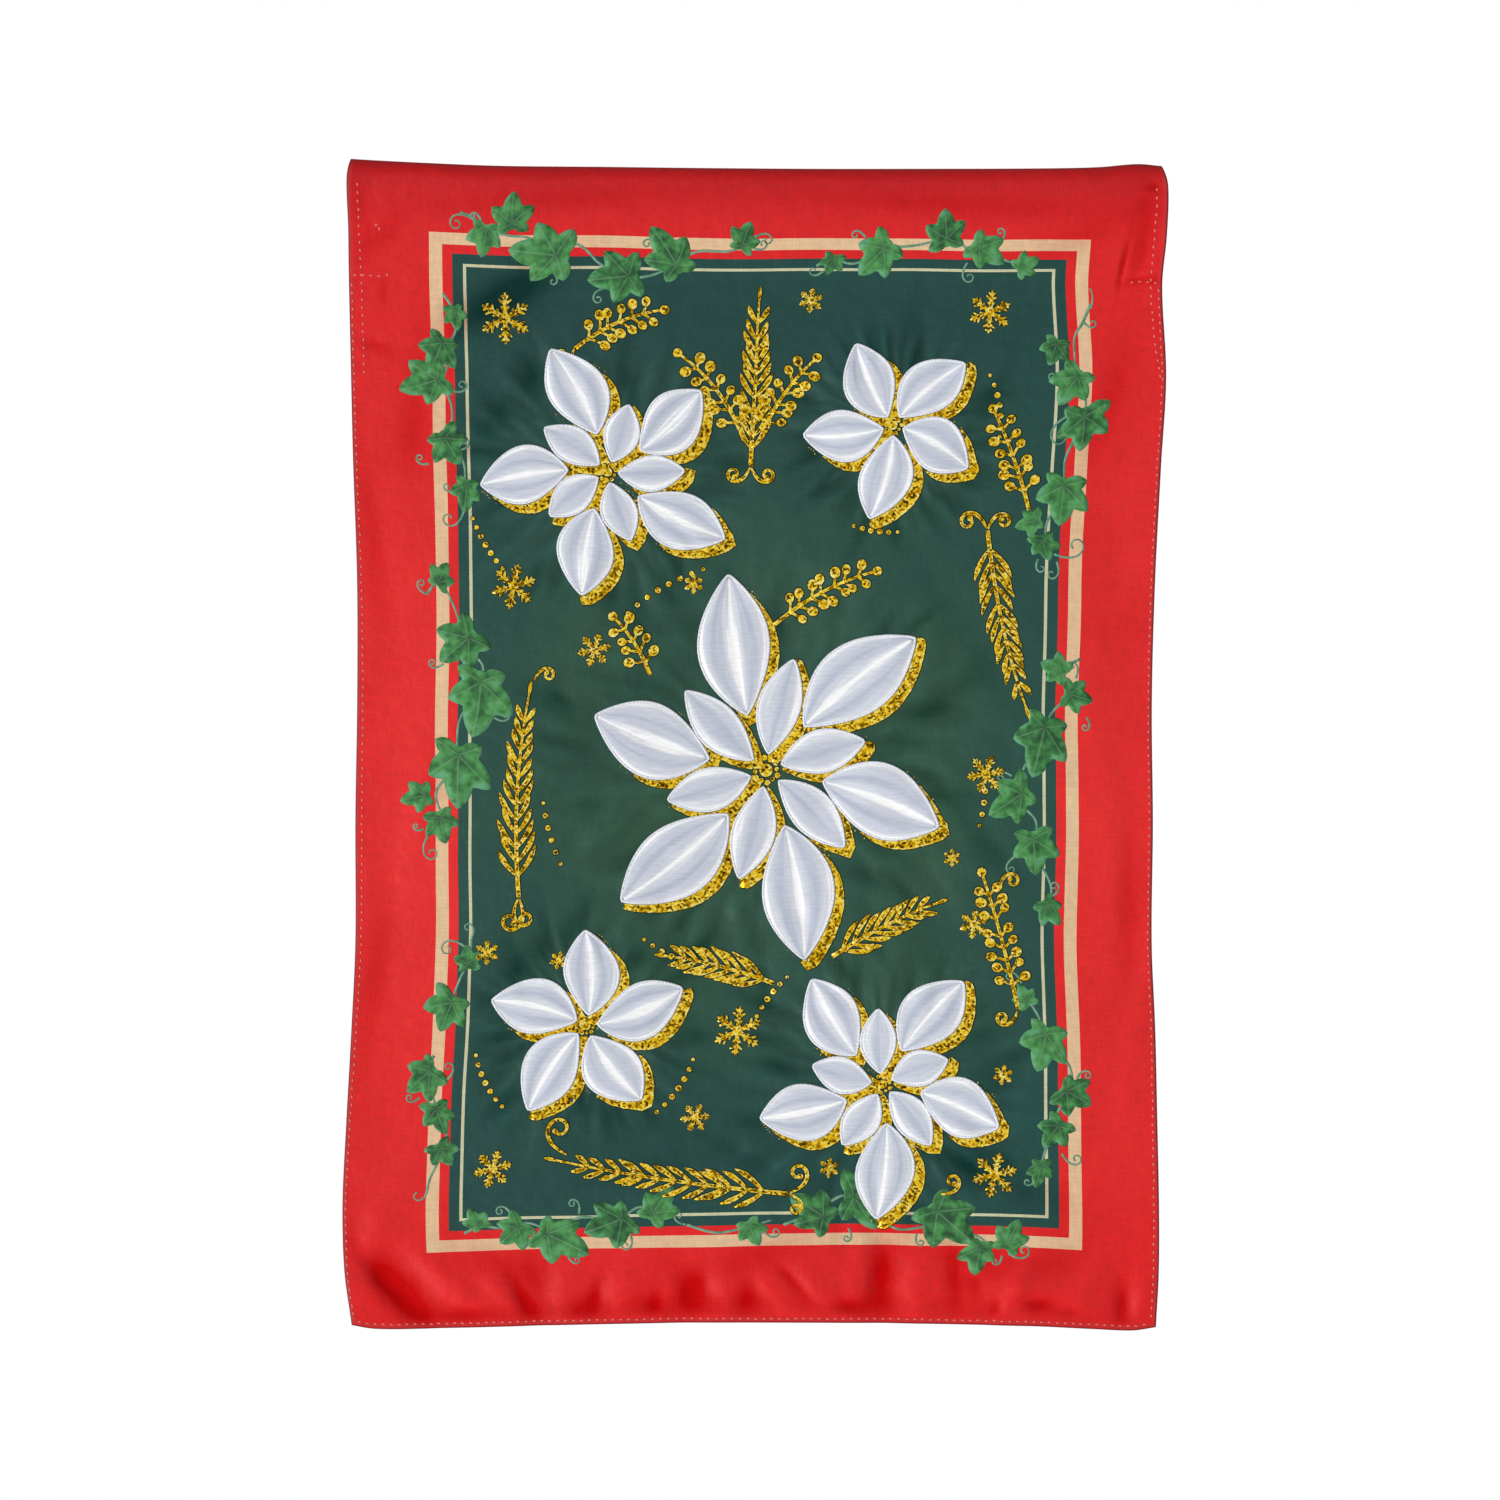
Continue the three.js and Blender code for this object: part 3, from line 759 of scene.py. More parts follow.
glitterLook = {
    "flake": 1.8,  # flakes are 0.2 to 0.4 mm; drawn coarser so that they read as separate
    "flakeDeep": 0.25,
    "tones": [
        (0.0, "#2a1c00"), (0.14, "#5e4300"), (0.28, "#aa7f05"), (0.44, "#deac12"), (0.6, "#f8cc26"),
        (0.8, "#ffe75a"), (1.0, "#fff4a8"),
    ],
    "tint": "#ffcf5a", "darkRimLine": "#16241a",
}


def makeGlitterMaterial():
    # polyester glitter in clear binder: bright flakes among brass and brown ones, paler along the edge,
    # and a dark line along the low rim past the flakes
    material, tree, shader = startMaterial("gold_glitter_print")
    flat, own = addNode(tree, "UVMap", uv_map="flat"), addNode(tree, "UVMap", uv_map="own")
    flakes = addNode(tree, "TexVoronoi", {"Vector": flat, "Scale": perMm(glitterLook["flake"])},
                     voronoi_dimensions="2D")
    bright, tilt = addNode(tree, "SeparateColor", {0: flakes.outputs["Color"]}).outputs[:2]
    off = addNode(tree, "Math", {0: addNode(tree, "SeparateXYZ", {0: own})}, operation="ABSOLUTE")
    edge = addNode(tree, "MapRange", {0: off, 1: 0.5, 2: 1.0, 4: 0.26})
    lit = addNode(tree, "Math", {0: bright, 1: 0.84, 2: edge}, operation="MULTIPLY_ADD")
    flake = setRamp(addNode(tree, "ValToRGB", {0: lit}), glitterLook["tones"])
    wet = addNode(tree, "MapRange", {0: off, 1: 1.02, 2: 1.12})
    darkRimLine, tint = (linear(glitterLook[key]) for key in ("darkRimLine", "tint"))
    relief = {"Height": tilt, "Distance": glitterLook["flakeDeep"] * mm, "Strength": 0.8}
    plug(tree, shader, {
        "Base Color": addNode(tree, "Mix", {0: wet, 6: flake, 7: darkRimLine}, **colourMix),
        "Metallic": addNode(tree, "MapRange", {0: wet, 3: 0.3, 4: 0.0}),
        "Roughness": 0.38, "Specular Tint": tint,
        "Normal": addNode(tree, "Bump", relief),
    })
    return material


leafLook = {
    "veins": ((0, 0.03), (54, 0.025), (114, 0.022)),  # heading and half width, the leaf being 1 long
    "mottle": 9,  # mm
    "tones": [
        (0.08, "#1d452b"), (0.26, "#265932"), (0.44, "#34713d"), (0.6, "#428746"), (0.78, "#539a54"),
        (0.95, "#5a9f70"),
    ],
    "dusk": "#2c4f33", "shadow": "#174f2d", "vein": "#7fae80", "rim": "#62a37c",
}


def makeLeafMaterial():
    # transfer print of ivy: leaf green with paler veins, a bluish rim, and dusky towards the stalk
    material, tree, shader = startMaterial("ivy_transfer_print")
    flat, own, shade = (addNode(tree, "UVMap", uv_map=name) for name in ("flat", "own", "shade"))
    x, y = addNode(tree, "SeparateXYZ", {0: own}).outputs[:2]
    # how far out on the blade, and each leaf's own number
    outwards, leaf = addNode(tree, "SeparateXYZ", {0: shade}).outputs[:2]
    x = addNode(tree, "Math", {0: x}, operation="ABSOLUTE")
    # a vein up the middle of each lobe, and a soft shadow along one side of it
    veins, darker = 0.0, 0.0
    for angle, width in leafLook["veins"]:
        sine, cosine = math.sin(math.radians(angle)), math.cos(math.radians(angle))
        off = addNode(tree, "Math", {0: x, 1: cosine}, operation="MULTIPLY")
        off = addNode(tree, "Math", {0: y, 1: -sine, 2: off}, operation="MULTIPLY_ADD")
        along = addNode(tree, "Math", {0: x, 1: sine}, operation="MULTIPLY")
        along = addNode(tree, "Math", {0: y, 1: cosine, 2: along}, operation="MULTIPLY_ADD")
        gate = addNode(tree, "MapRange", {0: along, 2: 0.08})
        gap = addNode(tree, "Math", {0: off}, operation="ABSOLUTE")
        vein = addNode(tree, "MapRange", {0: gap, 2: width, 3: 1.0, 4: 0.0})
        shadow = addNode(tree, "MapRange", {0: off, 2: 0.16, 3: 1.0, 4: 0.0})
        oneSide = addNode(tree, "MapRange", {0: off, 1: -0.01, 2: 0.01})
        shadow = addNode(tree, "Math", {0: shadow, 1: oneSide}, operation="MULTIPLY")
        vein = addNode(tree, "Math", {0: vein, 1: gate}, operation="MULTIPLY")
        shadow = addNode(tree, "Math", {0: shadow, 1: gate}, operation="MULTIPLY")
        veins = addNode(tree, "Math", {0: veins, 1: vein}, operation="MAXIMUM")
        darker = addNode(tree, "Math", {0: darker, 1: shadow}, operation="MAXIMUM")
    mottle = addNode(tree, "TexNoise", {"Vector": flat, "Scale": perMm(leafLook["mottle"]), "Detail": 6.0})
    tone = addNode(tree, "MapRange", {0: mottle, 1: 0.3, 2: 0.7, 3: -0.05, 4: 0.62})
    for share, amount in ((outwards, 0.24), (leaf, 0.28)):
        tone = addNode(tree, "Math", {0: share, 1: amount, 2: tone}, operation="MULTIPLY_ADD")
    body = setRamp(addNode(tree, "ValToRGB", {0: tone}), leafLook["tones"])
    # dusky towards the stalk's joint, as young ivy is, then shadows, veins and rim
    dusk = addNode(tree, "MapRange", {0: outwards, 1: 0.05, 2: 0.55, 3: 0.45, 4: 0.0})
    deep = addNode(tree, "Math", {0: darker, 1: 0.32}, operation="MULTIPLY")
    pale = addNode(tree, "Math", {0: veins, 1: 0.42}, operation="MULTIPLY")
    rim = addNode(tree, "Math", {0: outwards, 1: mottle})
    rim = addNode(tree, "MapRange", {0: rim, 1: 1.36, 2: 1.52, 4: 0.6})
    for share, key in ((dusk, "dusk"), (deep, "shadow"), (pale, "vein"), (rim, "rim")):
        body = addNode(tree, "Mix", {0: share, 6: body, 7: linear(leafLook[key])}, **colourMix)
    plug(tree, shader, {
        "Base Color": body, "Roughness": 0.6, "Specular IOR Level": 0.3,
        "Normal": addNode(tree, "Bump", {"Height": mottle, "Distance": 0.12 * mm, "Strength": 0.6}),
    })
    return material


def makeStemMaterial():
    # the same transfer print, in the paler grey green of stalks and tendrils
    material, tree, shader = startMaterial("ivy_stem_print")
    mottle = addNode(tree, "UVMap", uv_map="flat")
    mottle = addNode(tree, "TexNoise", {"Vector": mottle, "Scale": perMm(7), "Detail": 2.0})
    tones = [(0.35, "#548a6c"), (0.5, "#6b9a80"), (0.68, "#82a78b")]
    plug(tree, shader, {
        "Base Color": setRamp(addNode(tree, "ValToRGB", {0: mottle}), tones),
        "Roughness": 0.6, "Specular IOR Level": 0.3,
    })
    return material


bannerMaterial = makeBannerMaterial()
satinMaterial = makeSatinMaterial()
rimThreadMaterial = makeThreadMaterial("white_satin_stitch_thread", "#f3f4f9", "#c6ccd9", 1.0)
redThreadMaterial = makeThreadMaterial("red_polyester_thread", "#f27c72", "#dc6058", 0.8, sunk=2.2)
glitterMaterial = makeGlitterMaterial()
leafMaterial = makeLeafMaterial()
stemMaterial = makeStemMaterial()
print("materials made")

# the banner: one cloth, up the face, round the pole fold and down the back


def makeBanner():
    rows, columns = len(rowDown) - 1, len(columnAcross) - 1
    uv, faces = gridTemplate(columns, rows)
    c = np.rint(uv[:, 0] * columns).astype(int)
    r = np.rint(uv[:, 1] * rows).astype(int)
    across, down = columnAcross[c], rowDown[r]
    # how far each point lies in or out of the finer folds, 1 for 4 mm in
    hollow = (creaseDepth(across, down) + foldDepth(folds, across, down) * 0.5) / 4
    drawn, pull = drawnIn(across, down)
    banner = makePiece("banner_cloth", clothGrid[r, c] * mm, faces, {
        "flat": np.column_stack([across, rowRun[r]]) * mm,
        "hollow": np.column_stack([hollow, pull]) * (r < faceRows)[:, None],
        "drawn": drawn,
    }, bannerMaterial)
    banner.data.shade_smooth()
    # the hems are turned under twice, so the cloth is thicker along its sides and foot
    hem = banner.vertex_groups.new(name="hem")
    edge = np.minimum(np.minimum(across, cloth["width"] - across), rowRun[r])
    share = np.clip((cloth["hemWidth"] + cloth["hemBlend"] / 2 - edge) / cloth["hemBlend"], 0, 1)
    least = cloth["fieldThickness"] / cloth["hemThickness"]
    for quarter in range(5):
        chosen = np.nonzero(np.rint(share * 4) == quarter)[0]
        hem.add(chosen.tolist(), least + (1 - least) * quarter / 4, "REPLACE")
    thicken(banner, cloth["hemThickness"]).vertex_group = "hem"
    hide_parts("flag_panel", "pole_sleeve")


makeBanner()
print("banner hung")

# satin petals, each its own crowned piece

petalBuild = {
    "around": 34,  # facets round a petal's section, most of them on top
    "topFacets": 24,
    "rows": 28,
    "under": 0.1,  # the back's distance from the cloth's face
    "edge": 0.9,  # height where the satin is stitched down
    "crown": {2: 1.2, 1: 1.05},  # height of wadding above that, by lobes across, in a bloom of crownReach
    "crownReach": 150,
    "round": (3, 0.7),  # powers of a lobe's section: level on top, steep at its edge
    "vein": 0.12,  # share of the wadding that the middle vein keeps
    "ends": (0.012, 0.988),  # where the section starts and stops, as shares of the length
    "tip": 0.5,  # height at which it closes to a point
    "cut": 0.66,  # a petal fills about this much of the oblong that it is cut from
    "nextCut": 0.37,  # m
}


def petalSection(uv, lobes, crown):
    # round the section: left to right over the top, then back underneath; gives side, lobe and height
    around, top = petalBuild["around"], petalBuild["topFacets"]
    i = np.rint(uv * around).astype(int) % around
    onTop = i <= top
    side = np.where(onTop, 2 * i / top - 1, 1 - 2 * (i - top - 1) / (around - top - 2))
    lobe = np.abs(side) * 2 - 1 if lobes == 2 else side
    onTopPower, edgePower = petalBuild["round"]
    rise = (1 - np.clip(np.abs(lobe), 0, 1) ** onTopPower) ** edgePower
    if lobes == 2:
        rise = np.maximum(rise, petalBuild["vein"])
    height = petalBuild["edge"] + crown * np.where(np.abs(side) > 0.999, 0, rise)
    return side, lobe, np.where(onTop, height, petalBuild["under"])


def makePetal(bloom, ringName, k, number):
    ring = petalRings[ringName]
    edge, (start, stop) = petalBuild["edge"], petalBuild["ends"]
    uv, faces = gridTemplate(petalBuild["around"], petalBuild["rows"])
    t = start + (stop - start) * uv[:, 1]
    crown = petalBuild["crown"][ring.lobes] * bloom.reach / petalBuild["crownReach"]
    side, lobe, height = petalSection(uv[:, 0], ring.lobes, crown)
    height = np.where(height > edge, edge + (height - edge) * np.sin(np.pi * t) ** 0.5, height)
    across, down = petalPlace(bloom, ringName, k, side, t)
    closing = (uv[:, 1] < 1e-6) | (uv[:, 1] > 1 - 1e-6)
    tipAcross, tipDown = petalPlace(bloom, ringName, k, side * 0, np.where(uv[:, 1] > 0.5, 1.0, 0.0))
    across, down = np.where(closing, tipAcross, across), np.where(closing, tipDown, down)
    points = np.column_stack([across, -down, np.where(closing, petalBuild["tip"], height)])
    # each petal is cut from another stretch of satin, so no two have the same streaks
    run = t * (ring.end - ring.start) * bloom.reach * mm + petalBuild["nextCut"] * number
    name = f"{bloom.name}_{ringName}_{k + 1}"
    satin = [part(points, faces, np.column_stack([lobe, run]))]
    petal = buildPiece(name + "_satin", satin, satinMaterial, closed=True)
    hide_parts(name)
    length = (petalEnd(bloom, ringName, k) - ring.start) * bloom.reach


for number, petal in enumerate(everyPetal):
    makePetal(*petal, number)
print("petals sewn:", len(everyPetal))

rimBuild = {
    "spacing": 2.4, "sides": 8, "half": 1.2, "height": 1.6, "foot": 0.15,
    "bobbinHalf": 0.6, "bobbinClear": 0.05, "bobbinFilm": 0.15,  # the thread that shows behind
}


def petalOutline(bloom, ringName, k):
    # the petal's edge as an even closed line, across and minus down
    t = np.linspace(0, 1, 60)
    right = petalPlace(bloom, ringName, k, 1, t)
    left = petalPlace(bloom, ringName, k, -1, t[::-1])
    across, down = (np.concatenate([there, back[1:]]) for there, back in zip(right, left))
    line = np.column_stack([across, -down])
    run = runAlong(line)
    at = np.linspace(0, run[-1], int(run[-1] / rimBuild["spacing"]) + 1)
    return np.column_stack([np.interp(at, run, line[:, 0]), np.interp(at, run, line[:, 1])]), run[-1]


def outwardOf(line):
    # unit normals of a closed line, its last point the same as its first
    step = np.roll(line[:-1], -1, axis=0) - np.roll(line[:-1], 1, axis=0)
    step = np.vstack([step, step[:1]])
    step /= np.linalg.norm(step, axis=1, keepdims=True)
    outward = np.column_stack([step[:, 1], -step[:, 0]])
    centre = line[:-1].mean(axis=0)
    return outward if ((line - centre) * outward).sum() > 0 else -outward


def makeRims():
    # close satin stitch over each petal's raw edge
    foot, half = rimBuild["foot"], (rimBuild["height"] - rimBuild["foot"]) / 2
    for bloom in blooms:
        parts = []
        for petal in petalsOf(bloom):
            line, length = petalOutline(*petal)
            outward = outwardOf(line)
            uv, faces = gridTemplate(rimBuild["sides"], len(line) - 1)
            i = np.rint(uv[:, 1] * (len(line) - 1)).astype(int)
            angle = uv[:, 0] * math.tau
            flat = line[i] + outward[i] * (rimBuild["half"] * np.cos(angle))[:, None]
            points = np.column_stack([flat, foot + half + half * np.sin(angle)])
            parts.append(part(points, faces, np.column_stack([uv[:, 0], uv[:, 1] * length * mm])))
        buildPiece(bloom.name + "_satin_stitch", parts, rimThreadMaterial, closed=True)


def makeBobbinLines():
    # the same stitching seen from behind: one thin line round each petal
    behind = level(-cloth["fieldThickness"] - rimBuild["bobbinClear"])
    return [stripPart(petalOutline(*petal)[0], rimBuild["bobbinHalf"], behind) for petal in everyPetal]


makeRims()
buildPiece("bobbin_stitching", makeBobbinLines(), rimThreadMaterial,
           film=rimBuild["bobbinFilm"])
print("petal edges stitched")

# gold glitter

gold = {
    "low": 0.1, "high": 0.32,  # heights of the binder's outer edge and of the flakes
    "wet": 1.0,  # how far the binder runs out past the flakes
    "film": 0.2,
    "shadow": (9.0, -8.0),  # which way each petal's drop shadow falls, and how far
    "clear": 1.7,  # bare cloth left between the stitching and its shadow
    "narrowest": 0.15,  # of the shadow where it starts and ends
    "ragged": 0.35,
    "late": 1.2,  # above 1, stems bend more towards their ends
}
# loose flakes that stray past the shadows' thin ends
specks = {
    "where": (-2.5, 2.2),  # along a petal's edge where its shadow comes out this wide
    "share": 0.5,  # of those places have one
    "out": 0.4, "past": 1.2, "least": 1.5,  # how far out from the stitching's clear strip
    "radius": (0.35, 0.75),
}

# across, down, heading, length, pairs, bend
firSprigs = [
    (146, 640, 356, 178, 12, 14), (560, 318, 172, 158, 11, -12), (388, 903, 275, 204, 13, 8),
    (350, 262, 1, 146, 11, 5), (374, 718, 290, 98, 8, -12), (426, 694, 57, 104, 8, 12),
]
berrySprigs = [
    (344, 240, 338, 98, 6, -32), (357, 240, 20, 90, 6, 30), (590, 738, 350, 124, 8, -10),
    (196, 160, 52, 88, 6, 30), (372, 402, 50, 104, 7, 26), (596, 300, 344, 96, 6, -12),
    (262, 446, 338, 62, 4, -24),
]
# across, down, radius, turn
crystals = [
    (136, 133, 23, 0), (560, 126, 19, 8), (140, 368, 20, 12), (562, 532, 17, 20), (342, 760, 22, 5),
    (130, 878, 17, 16), (306, 836, 13, 24), (118, 688, 11, 0), (212, 424, 15, 18), (552, 664, 13, 8),
    (568, 884, 20, 14), (300, 366, 9, 0), (576, 796, 9, 10), (424, 880, 9, 6), (182, 696, 8, 14),
    (404, 116, 11, 10), (532, 606, 8, 0), (274, 640, 8, 22),
]
# across, down, radius, from heading, to heading, dots
dotArcs = [
    (366, 530, 186, 318, 342, 8), (366, 530, 184, 198, 216, 7), (224, 268, 126, 228, 251, 7),
    (470, 806, 126, 298, 318, 6), (474, 226, 94, 62, 96, 7), (208, 754, 100, 108, 140, 7),
    (208, 754, 100, 226, 256, 7), (366, 530, 196, 92, 104, 5), (474, 226, 94, 176, 200, 6),
    (366, 530, 200, 246, 262, 6),
]
# across, down, heading, length, curl, half width
goldCurls = [
    (146, 640, 160, 62, 400, 1.6), (146, 640, 204, 52, -380, 1.5), (388, 903, 66, 54, -360, 1.6),
    (388, 903, 112, 38, 380, 1.4), (560, 318, 20, 44, 380, 1.5), (560, 318, 334, 52, -380, 1.6),
    (350, 262, 158, 46, -400, 1.5), (350, 262, 204, 46, 400, 1.5), (590, 738, 200, 44, 400, 1.5),
    (196, 868, 300, 70, 380, 1.5), (574, 636, 8, 44, 380, 1.3), (520, 902, 84, 44, -380, 1.4),
    (158, 452, 24, 40, 380, 1.3), (372, 402, 236, 34, -360, 1.3), (196, 158, 200, 34, 340, 1.3),
]


def goldPart(path, half, lift=0.0):
    # the lift keeps parts that cross from lying in one plane
    low, high, wet = gold["low"], gold["high"] + lift, gold["wet"]
    return stripPart(path, half, [(-1, -wet, low), (-1, 0, high), (0, 0, high), (1, 0, high), (1, wet, low)])


def goldDisc(place, radius, lift=0.03, segments=12, stretch=1.0, heading=0.0):
    low, high, wet = gold["low"], gold["high"] + lift, gold["wet"]
    profile = [(0, 0, high), (0.5, 0, high), (1, 0, high), (1, wet, low)]
    return discPart(place, radius, profile, segments, stretch, heading)


def curvedPath(place, heading, length, bend, count):
    # a line from its place, across and minus down, that turns by bend degrees over its length
    angle = np.radians(heading + bend * np.linspace(0, 1, count) ** gold["late"])
    steps = np.column_stack([np.sin(angle), np.cos(angle)]) * (length / (count - 1))
    steps[0] = 0
    return place + np.cumsum(steps, axis=0), np.degrees(angle)


def windingPath(across, down, heading, length, curl, count, tight):
    # a line that winds up towards its end, and each point's share of its length
    share = np.linspace(0, 1, count)
    angle = np.radians(heading + curl * share ** tight)
    steps = np.cumsum(np.column_stack([np.sin(angle), np.cos(angle)]), axis=0)
    return (across, -down) + steps * (length / (count - 1)), share


def fromHeart(across, down, heading, out):
    # a place this far out from a middle, across and minus down
    return across + out * math.sin(heading), -down + out * math.cos(heading)


def makeShadows():
    parts = []
    for petal in everyPetal:
        line = petalOutline(*petal)[0]
        line, outward = line[:-1], outwardOf(line)[:-1]
        cast = outward @ np.array(gold["shadow"])
        wide = np.maximum(cast, 0) - gold["clear"]
        # start the walk on the bare side, so that each shadow is one unbroken run
        order = np.roll(np.arange(len(line)), -int(np.argmin(cast)))
        run = [i for i in order if wide[i] > gold["narrowest"]]
        if len(run) < 4:
            continue  # too short to show
        ragged = [draw.uniform(-gold["ragged"], gold["ragged"]) for _ in run]
        inner = line[run] + outward[run] * gold["clear"]
        outer = line[run] + outward[run] * (gold["clear"] + wide[run] + ragged)[:, None]
        parts.append(goldPart((inner + outer) / 2, np.linalg.norm(outer - inner, axis=1) / 2, lift=-0.02))
    return parts


def makeSpecks():
    parts = []
    narrow, wide = specks["where"]
    flake = [(0, 0, gold["high"]), (1, 0, gold["high"])]
    for petal in everyPetal:
        line = petalOutline(*petal)[0]
        outward = outwardOf(line)
        cast = outward @ np.array(gold["shadow"])
        for i in range(len(line) - 1):
            if narrow < cast[i] - gold["clear"] < wide and draw.random() < specks["share"]:
                far = max(cast[i], specks["least"]) + specks["past"]
                at = line[i] + outward[i] * (gold["clear"] + draw.uniform(specks["out"], far))
                parts.append(discPart(at, draw.uniform(*specks["radius"]), flake, segments=5))
    return parts


# where the pairs start, how much of the stem they cover, how much lengths vary, and how they lean and bend;
# length at the stem's foot and how much less at its tip; half widths of the stem
firBuild = {
    "points": 30, "first": 0.12, "cover": 0.82, "vary": (0.9, 1.08), "lean": (38, 47), "bend": -26,
    "length": 31, "less": 17, "power": 1.5, "stem": (1.8, 0.7), "tip": 12,
    "needle": ([0, 0.25, 0.7, 1], [0.7, 1.5, 2.2, 0.4]), "tipNeedle": ([0, 0.6, 1], [0.8, 1.5, 0.3]),
}
berryBuild = {
    "points": 24, "first": 0.18, "cover": 0.76, "vary": (0.85, 1.1), "lean": (44, 58), "bend": 14,
    "length": 15, "less": 5, "power": 1, "stem": (1.6, 0.9), "stalk": (1.0, 0.7),
    "berry": (3.4, 4.4), "last": 4.0, "stretch": 1.15,
}


def sprigSides(path, angle, pairs, build, count):
    # the line and end heading of each needle or stalk, in pairs up the stem
    for pair in range(pairs):
        share = build["first"] + build["cover"] * pair / pairs
        i = int(share * (build["points"] - 1))
        for sign in (-1, 1):
            length = build["length"] - build["less"] * share ** build["power"]
            length *= draw.uniform(*build["vary"])
            lean = sign * draw.uniform(*build["lean"])
            yield curvedPath(path[i], angle[i] + lean, length, sign * build["bend"], count)


def makeFirSprigs():
    parts = []
    for across, down, heading, length, pairs, bend in firSprigs:
        path, angle = curvedPath((across, -down), heading, length, bend, firBuild["points"])
        parts.append(goldPart(path, np.linspace(*firBuild["stem"], len(path))))
        for needle, turned in sprigSides(path, angle, pairs, firBuild, 11):
            parts.append(goldPart(needle, np.interp(np.linspace(0, 1, 11), *firBuild["needle"]), lift=0.02))
        tip = curvedPath(path[-1], angle[-1], firBuild["tip"], 0, 8)[0]
        parts.append(goldPart(tip, np.interp(np.linspace(0, 1, 8), *firBuild["tipNeedle"])))
    return parts


def makeBerrySprigs():
    parts = []
    for across, down, heading, length, pairs, bend in berrySprigs:
        path, angle = curvedPath((across, -down), heading, length, bend, berryBuild["points"])
        parts.append(goldPart(path, np.linspace(*berryBuild["stem"], len(path))))
        for stalk, turned in sprigSides(path, angle, pairs, berryBuild, 7):
            parts.append(goldPart(stalk, np.linspace(*berryBuild["stalk"], 7)))
            size = draw.uniform(*berryBuild["berry"])
            parts.append(goldDisc(stalk[-1], size, stretch=berryBuild["stretch"], heading=turned[-1]))
        parts.append(goldDisc(path[-1], berryBuild["last"]))
    return parts


crystalBuild = {
    # half thickness and middle, each with a least size and a share of the radius
    "thickLeast": 0.55, "thickShare": 0.045, "heartLeast": 0.8, "heartShare": 0.15,
    "arm": (1.3, 0.45), "barb": (0.85, 0.35), "lean": 56,  # shares of the thickness, foot and tip
    "barbs": ((0.34, 0.2), (0.56, 0.3), (0.78, 0.18)),  # place along the arm and length, shares of the radius
}


def makeCrystals():
    parts = []
    for across, down, radius, turn in crystals:
        thick = crystalBuild["thickLeast"] + crystalBuild["thickShare"] * radius
        for heading in range(turn, turn + 360, 60):
            path = curvedPath((across, -down), heading, radius, 0, 9)[0]
            parts.append(goldPart(path, thick * np.linspace(*crystalBuild["arm"], 9)))
            for share, length in crystalBuild["barbs"]:
                base = path[0] + (path[-1] - path[0]) * share
                for lean in (-crystalBuild["lean"], crystalBuild["lean"]):
                    barb = curvedPath(base, heading + lean, radius * length, 0, 5)[0]
                    parts.append(goldPart(barb, thick * np.linspace(*crystalBuild["barb"], 5)))
        heart = crystalBuild["heartLeast"] + crystalBuild["heartShare"] * radius
        parts.append(goldDisc((across, -down), heart))
    return parts


curlBuild = {"points": 34, "tight": 2.1, "taper": ([0, 0.3, 0.9, 1], [0.4, 1, 0.7, 0.7]), "bead": 1.5}


def makeCurls():
    # each curl has a bead on its end
    parts = []
    for *winding, half in goldCurls:
        path, share = windingPath(*winding, curlBuild["points"], curlBuild["tight"])
        parts.append(goldPart(path, half * np.interp(share, *curlBuild["taper"])))
        parts.append(goldDisc(path[-1], half * curlBuild["bead"]))
    return parts


dotBuild = {"radius": 1.5, "swell": 1.0, "vary": 0.15}  # larger towards the middle of a row


def makeDots():
    parts = []
    for across, down, radius, start, end, count in dotArcs:
        for k in range(count):
            share = k / (count - 1)
            size = dotBuild["radius"] + dotBuild["swell"] * math.sin(math.pi * share)
            size += draw.uniform(-dotBuild["vary"], dotBuild["vary"])
            heading = math.radians(start + (end - start) * share)
            parts.append(goldDisc(fromHeart(across, down, heading, radius), size))
    return parts


# a large dot at each bloom's middle, and a ring of smaller ones: distance out and size as shares of it
heartBuild = {"share": 0.034, "least": 3.6, "ring": ((1.7, 0.32), (1.95, 0.42))}


def makeBloomHearts():
    parts = []
    for bloom in blooms:
        size = max(bloom.reach * heartBuild["share"], heartBuild["least"])
        parts.append(goldDisc((bloom.across, -bloom.down), size, lift=0.05, segments=18))
        for k in range(bloom.petals * 2):
            heading = math.radians(bloom.turn + 180 * (k + 0.5) / bloom.petals)
            out, smaller = heartBuild["ring"][k % 2]
            parts.append(goldDisc(fromHeart(bloom.across, bloom.down, heading, size * out), size * smaller))
    return parts


for goldName, makeGold in (
    ("petal_shadows", makeShadows), ("glitter_specks", makeSpecks), ("fir_sprigs", makeFirSprigs),
    ("berry_sprigs", makeBerrySprigs), ("snow_crystals", makeCrystals), ("snow_dots", makeDots),
    ("scroll_curls", makeCurls), ("bloom_hearts", makeBloomHearts),
):
    buildPiece(goldName, makeGold(), glitterMaterial, film=gold["film"])
print("glitter printed")

# the ivy border

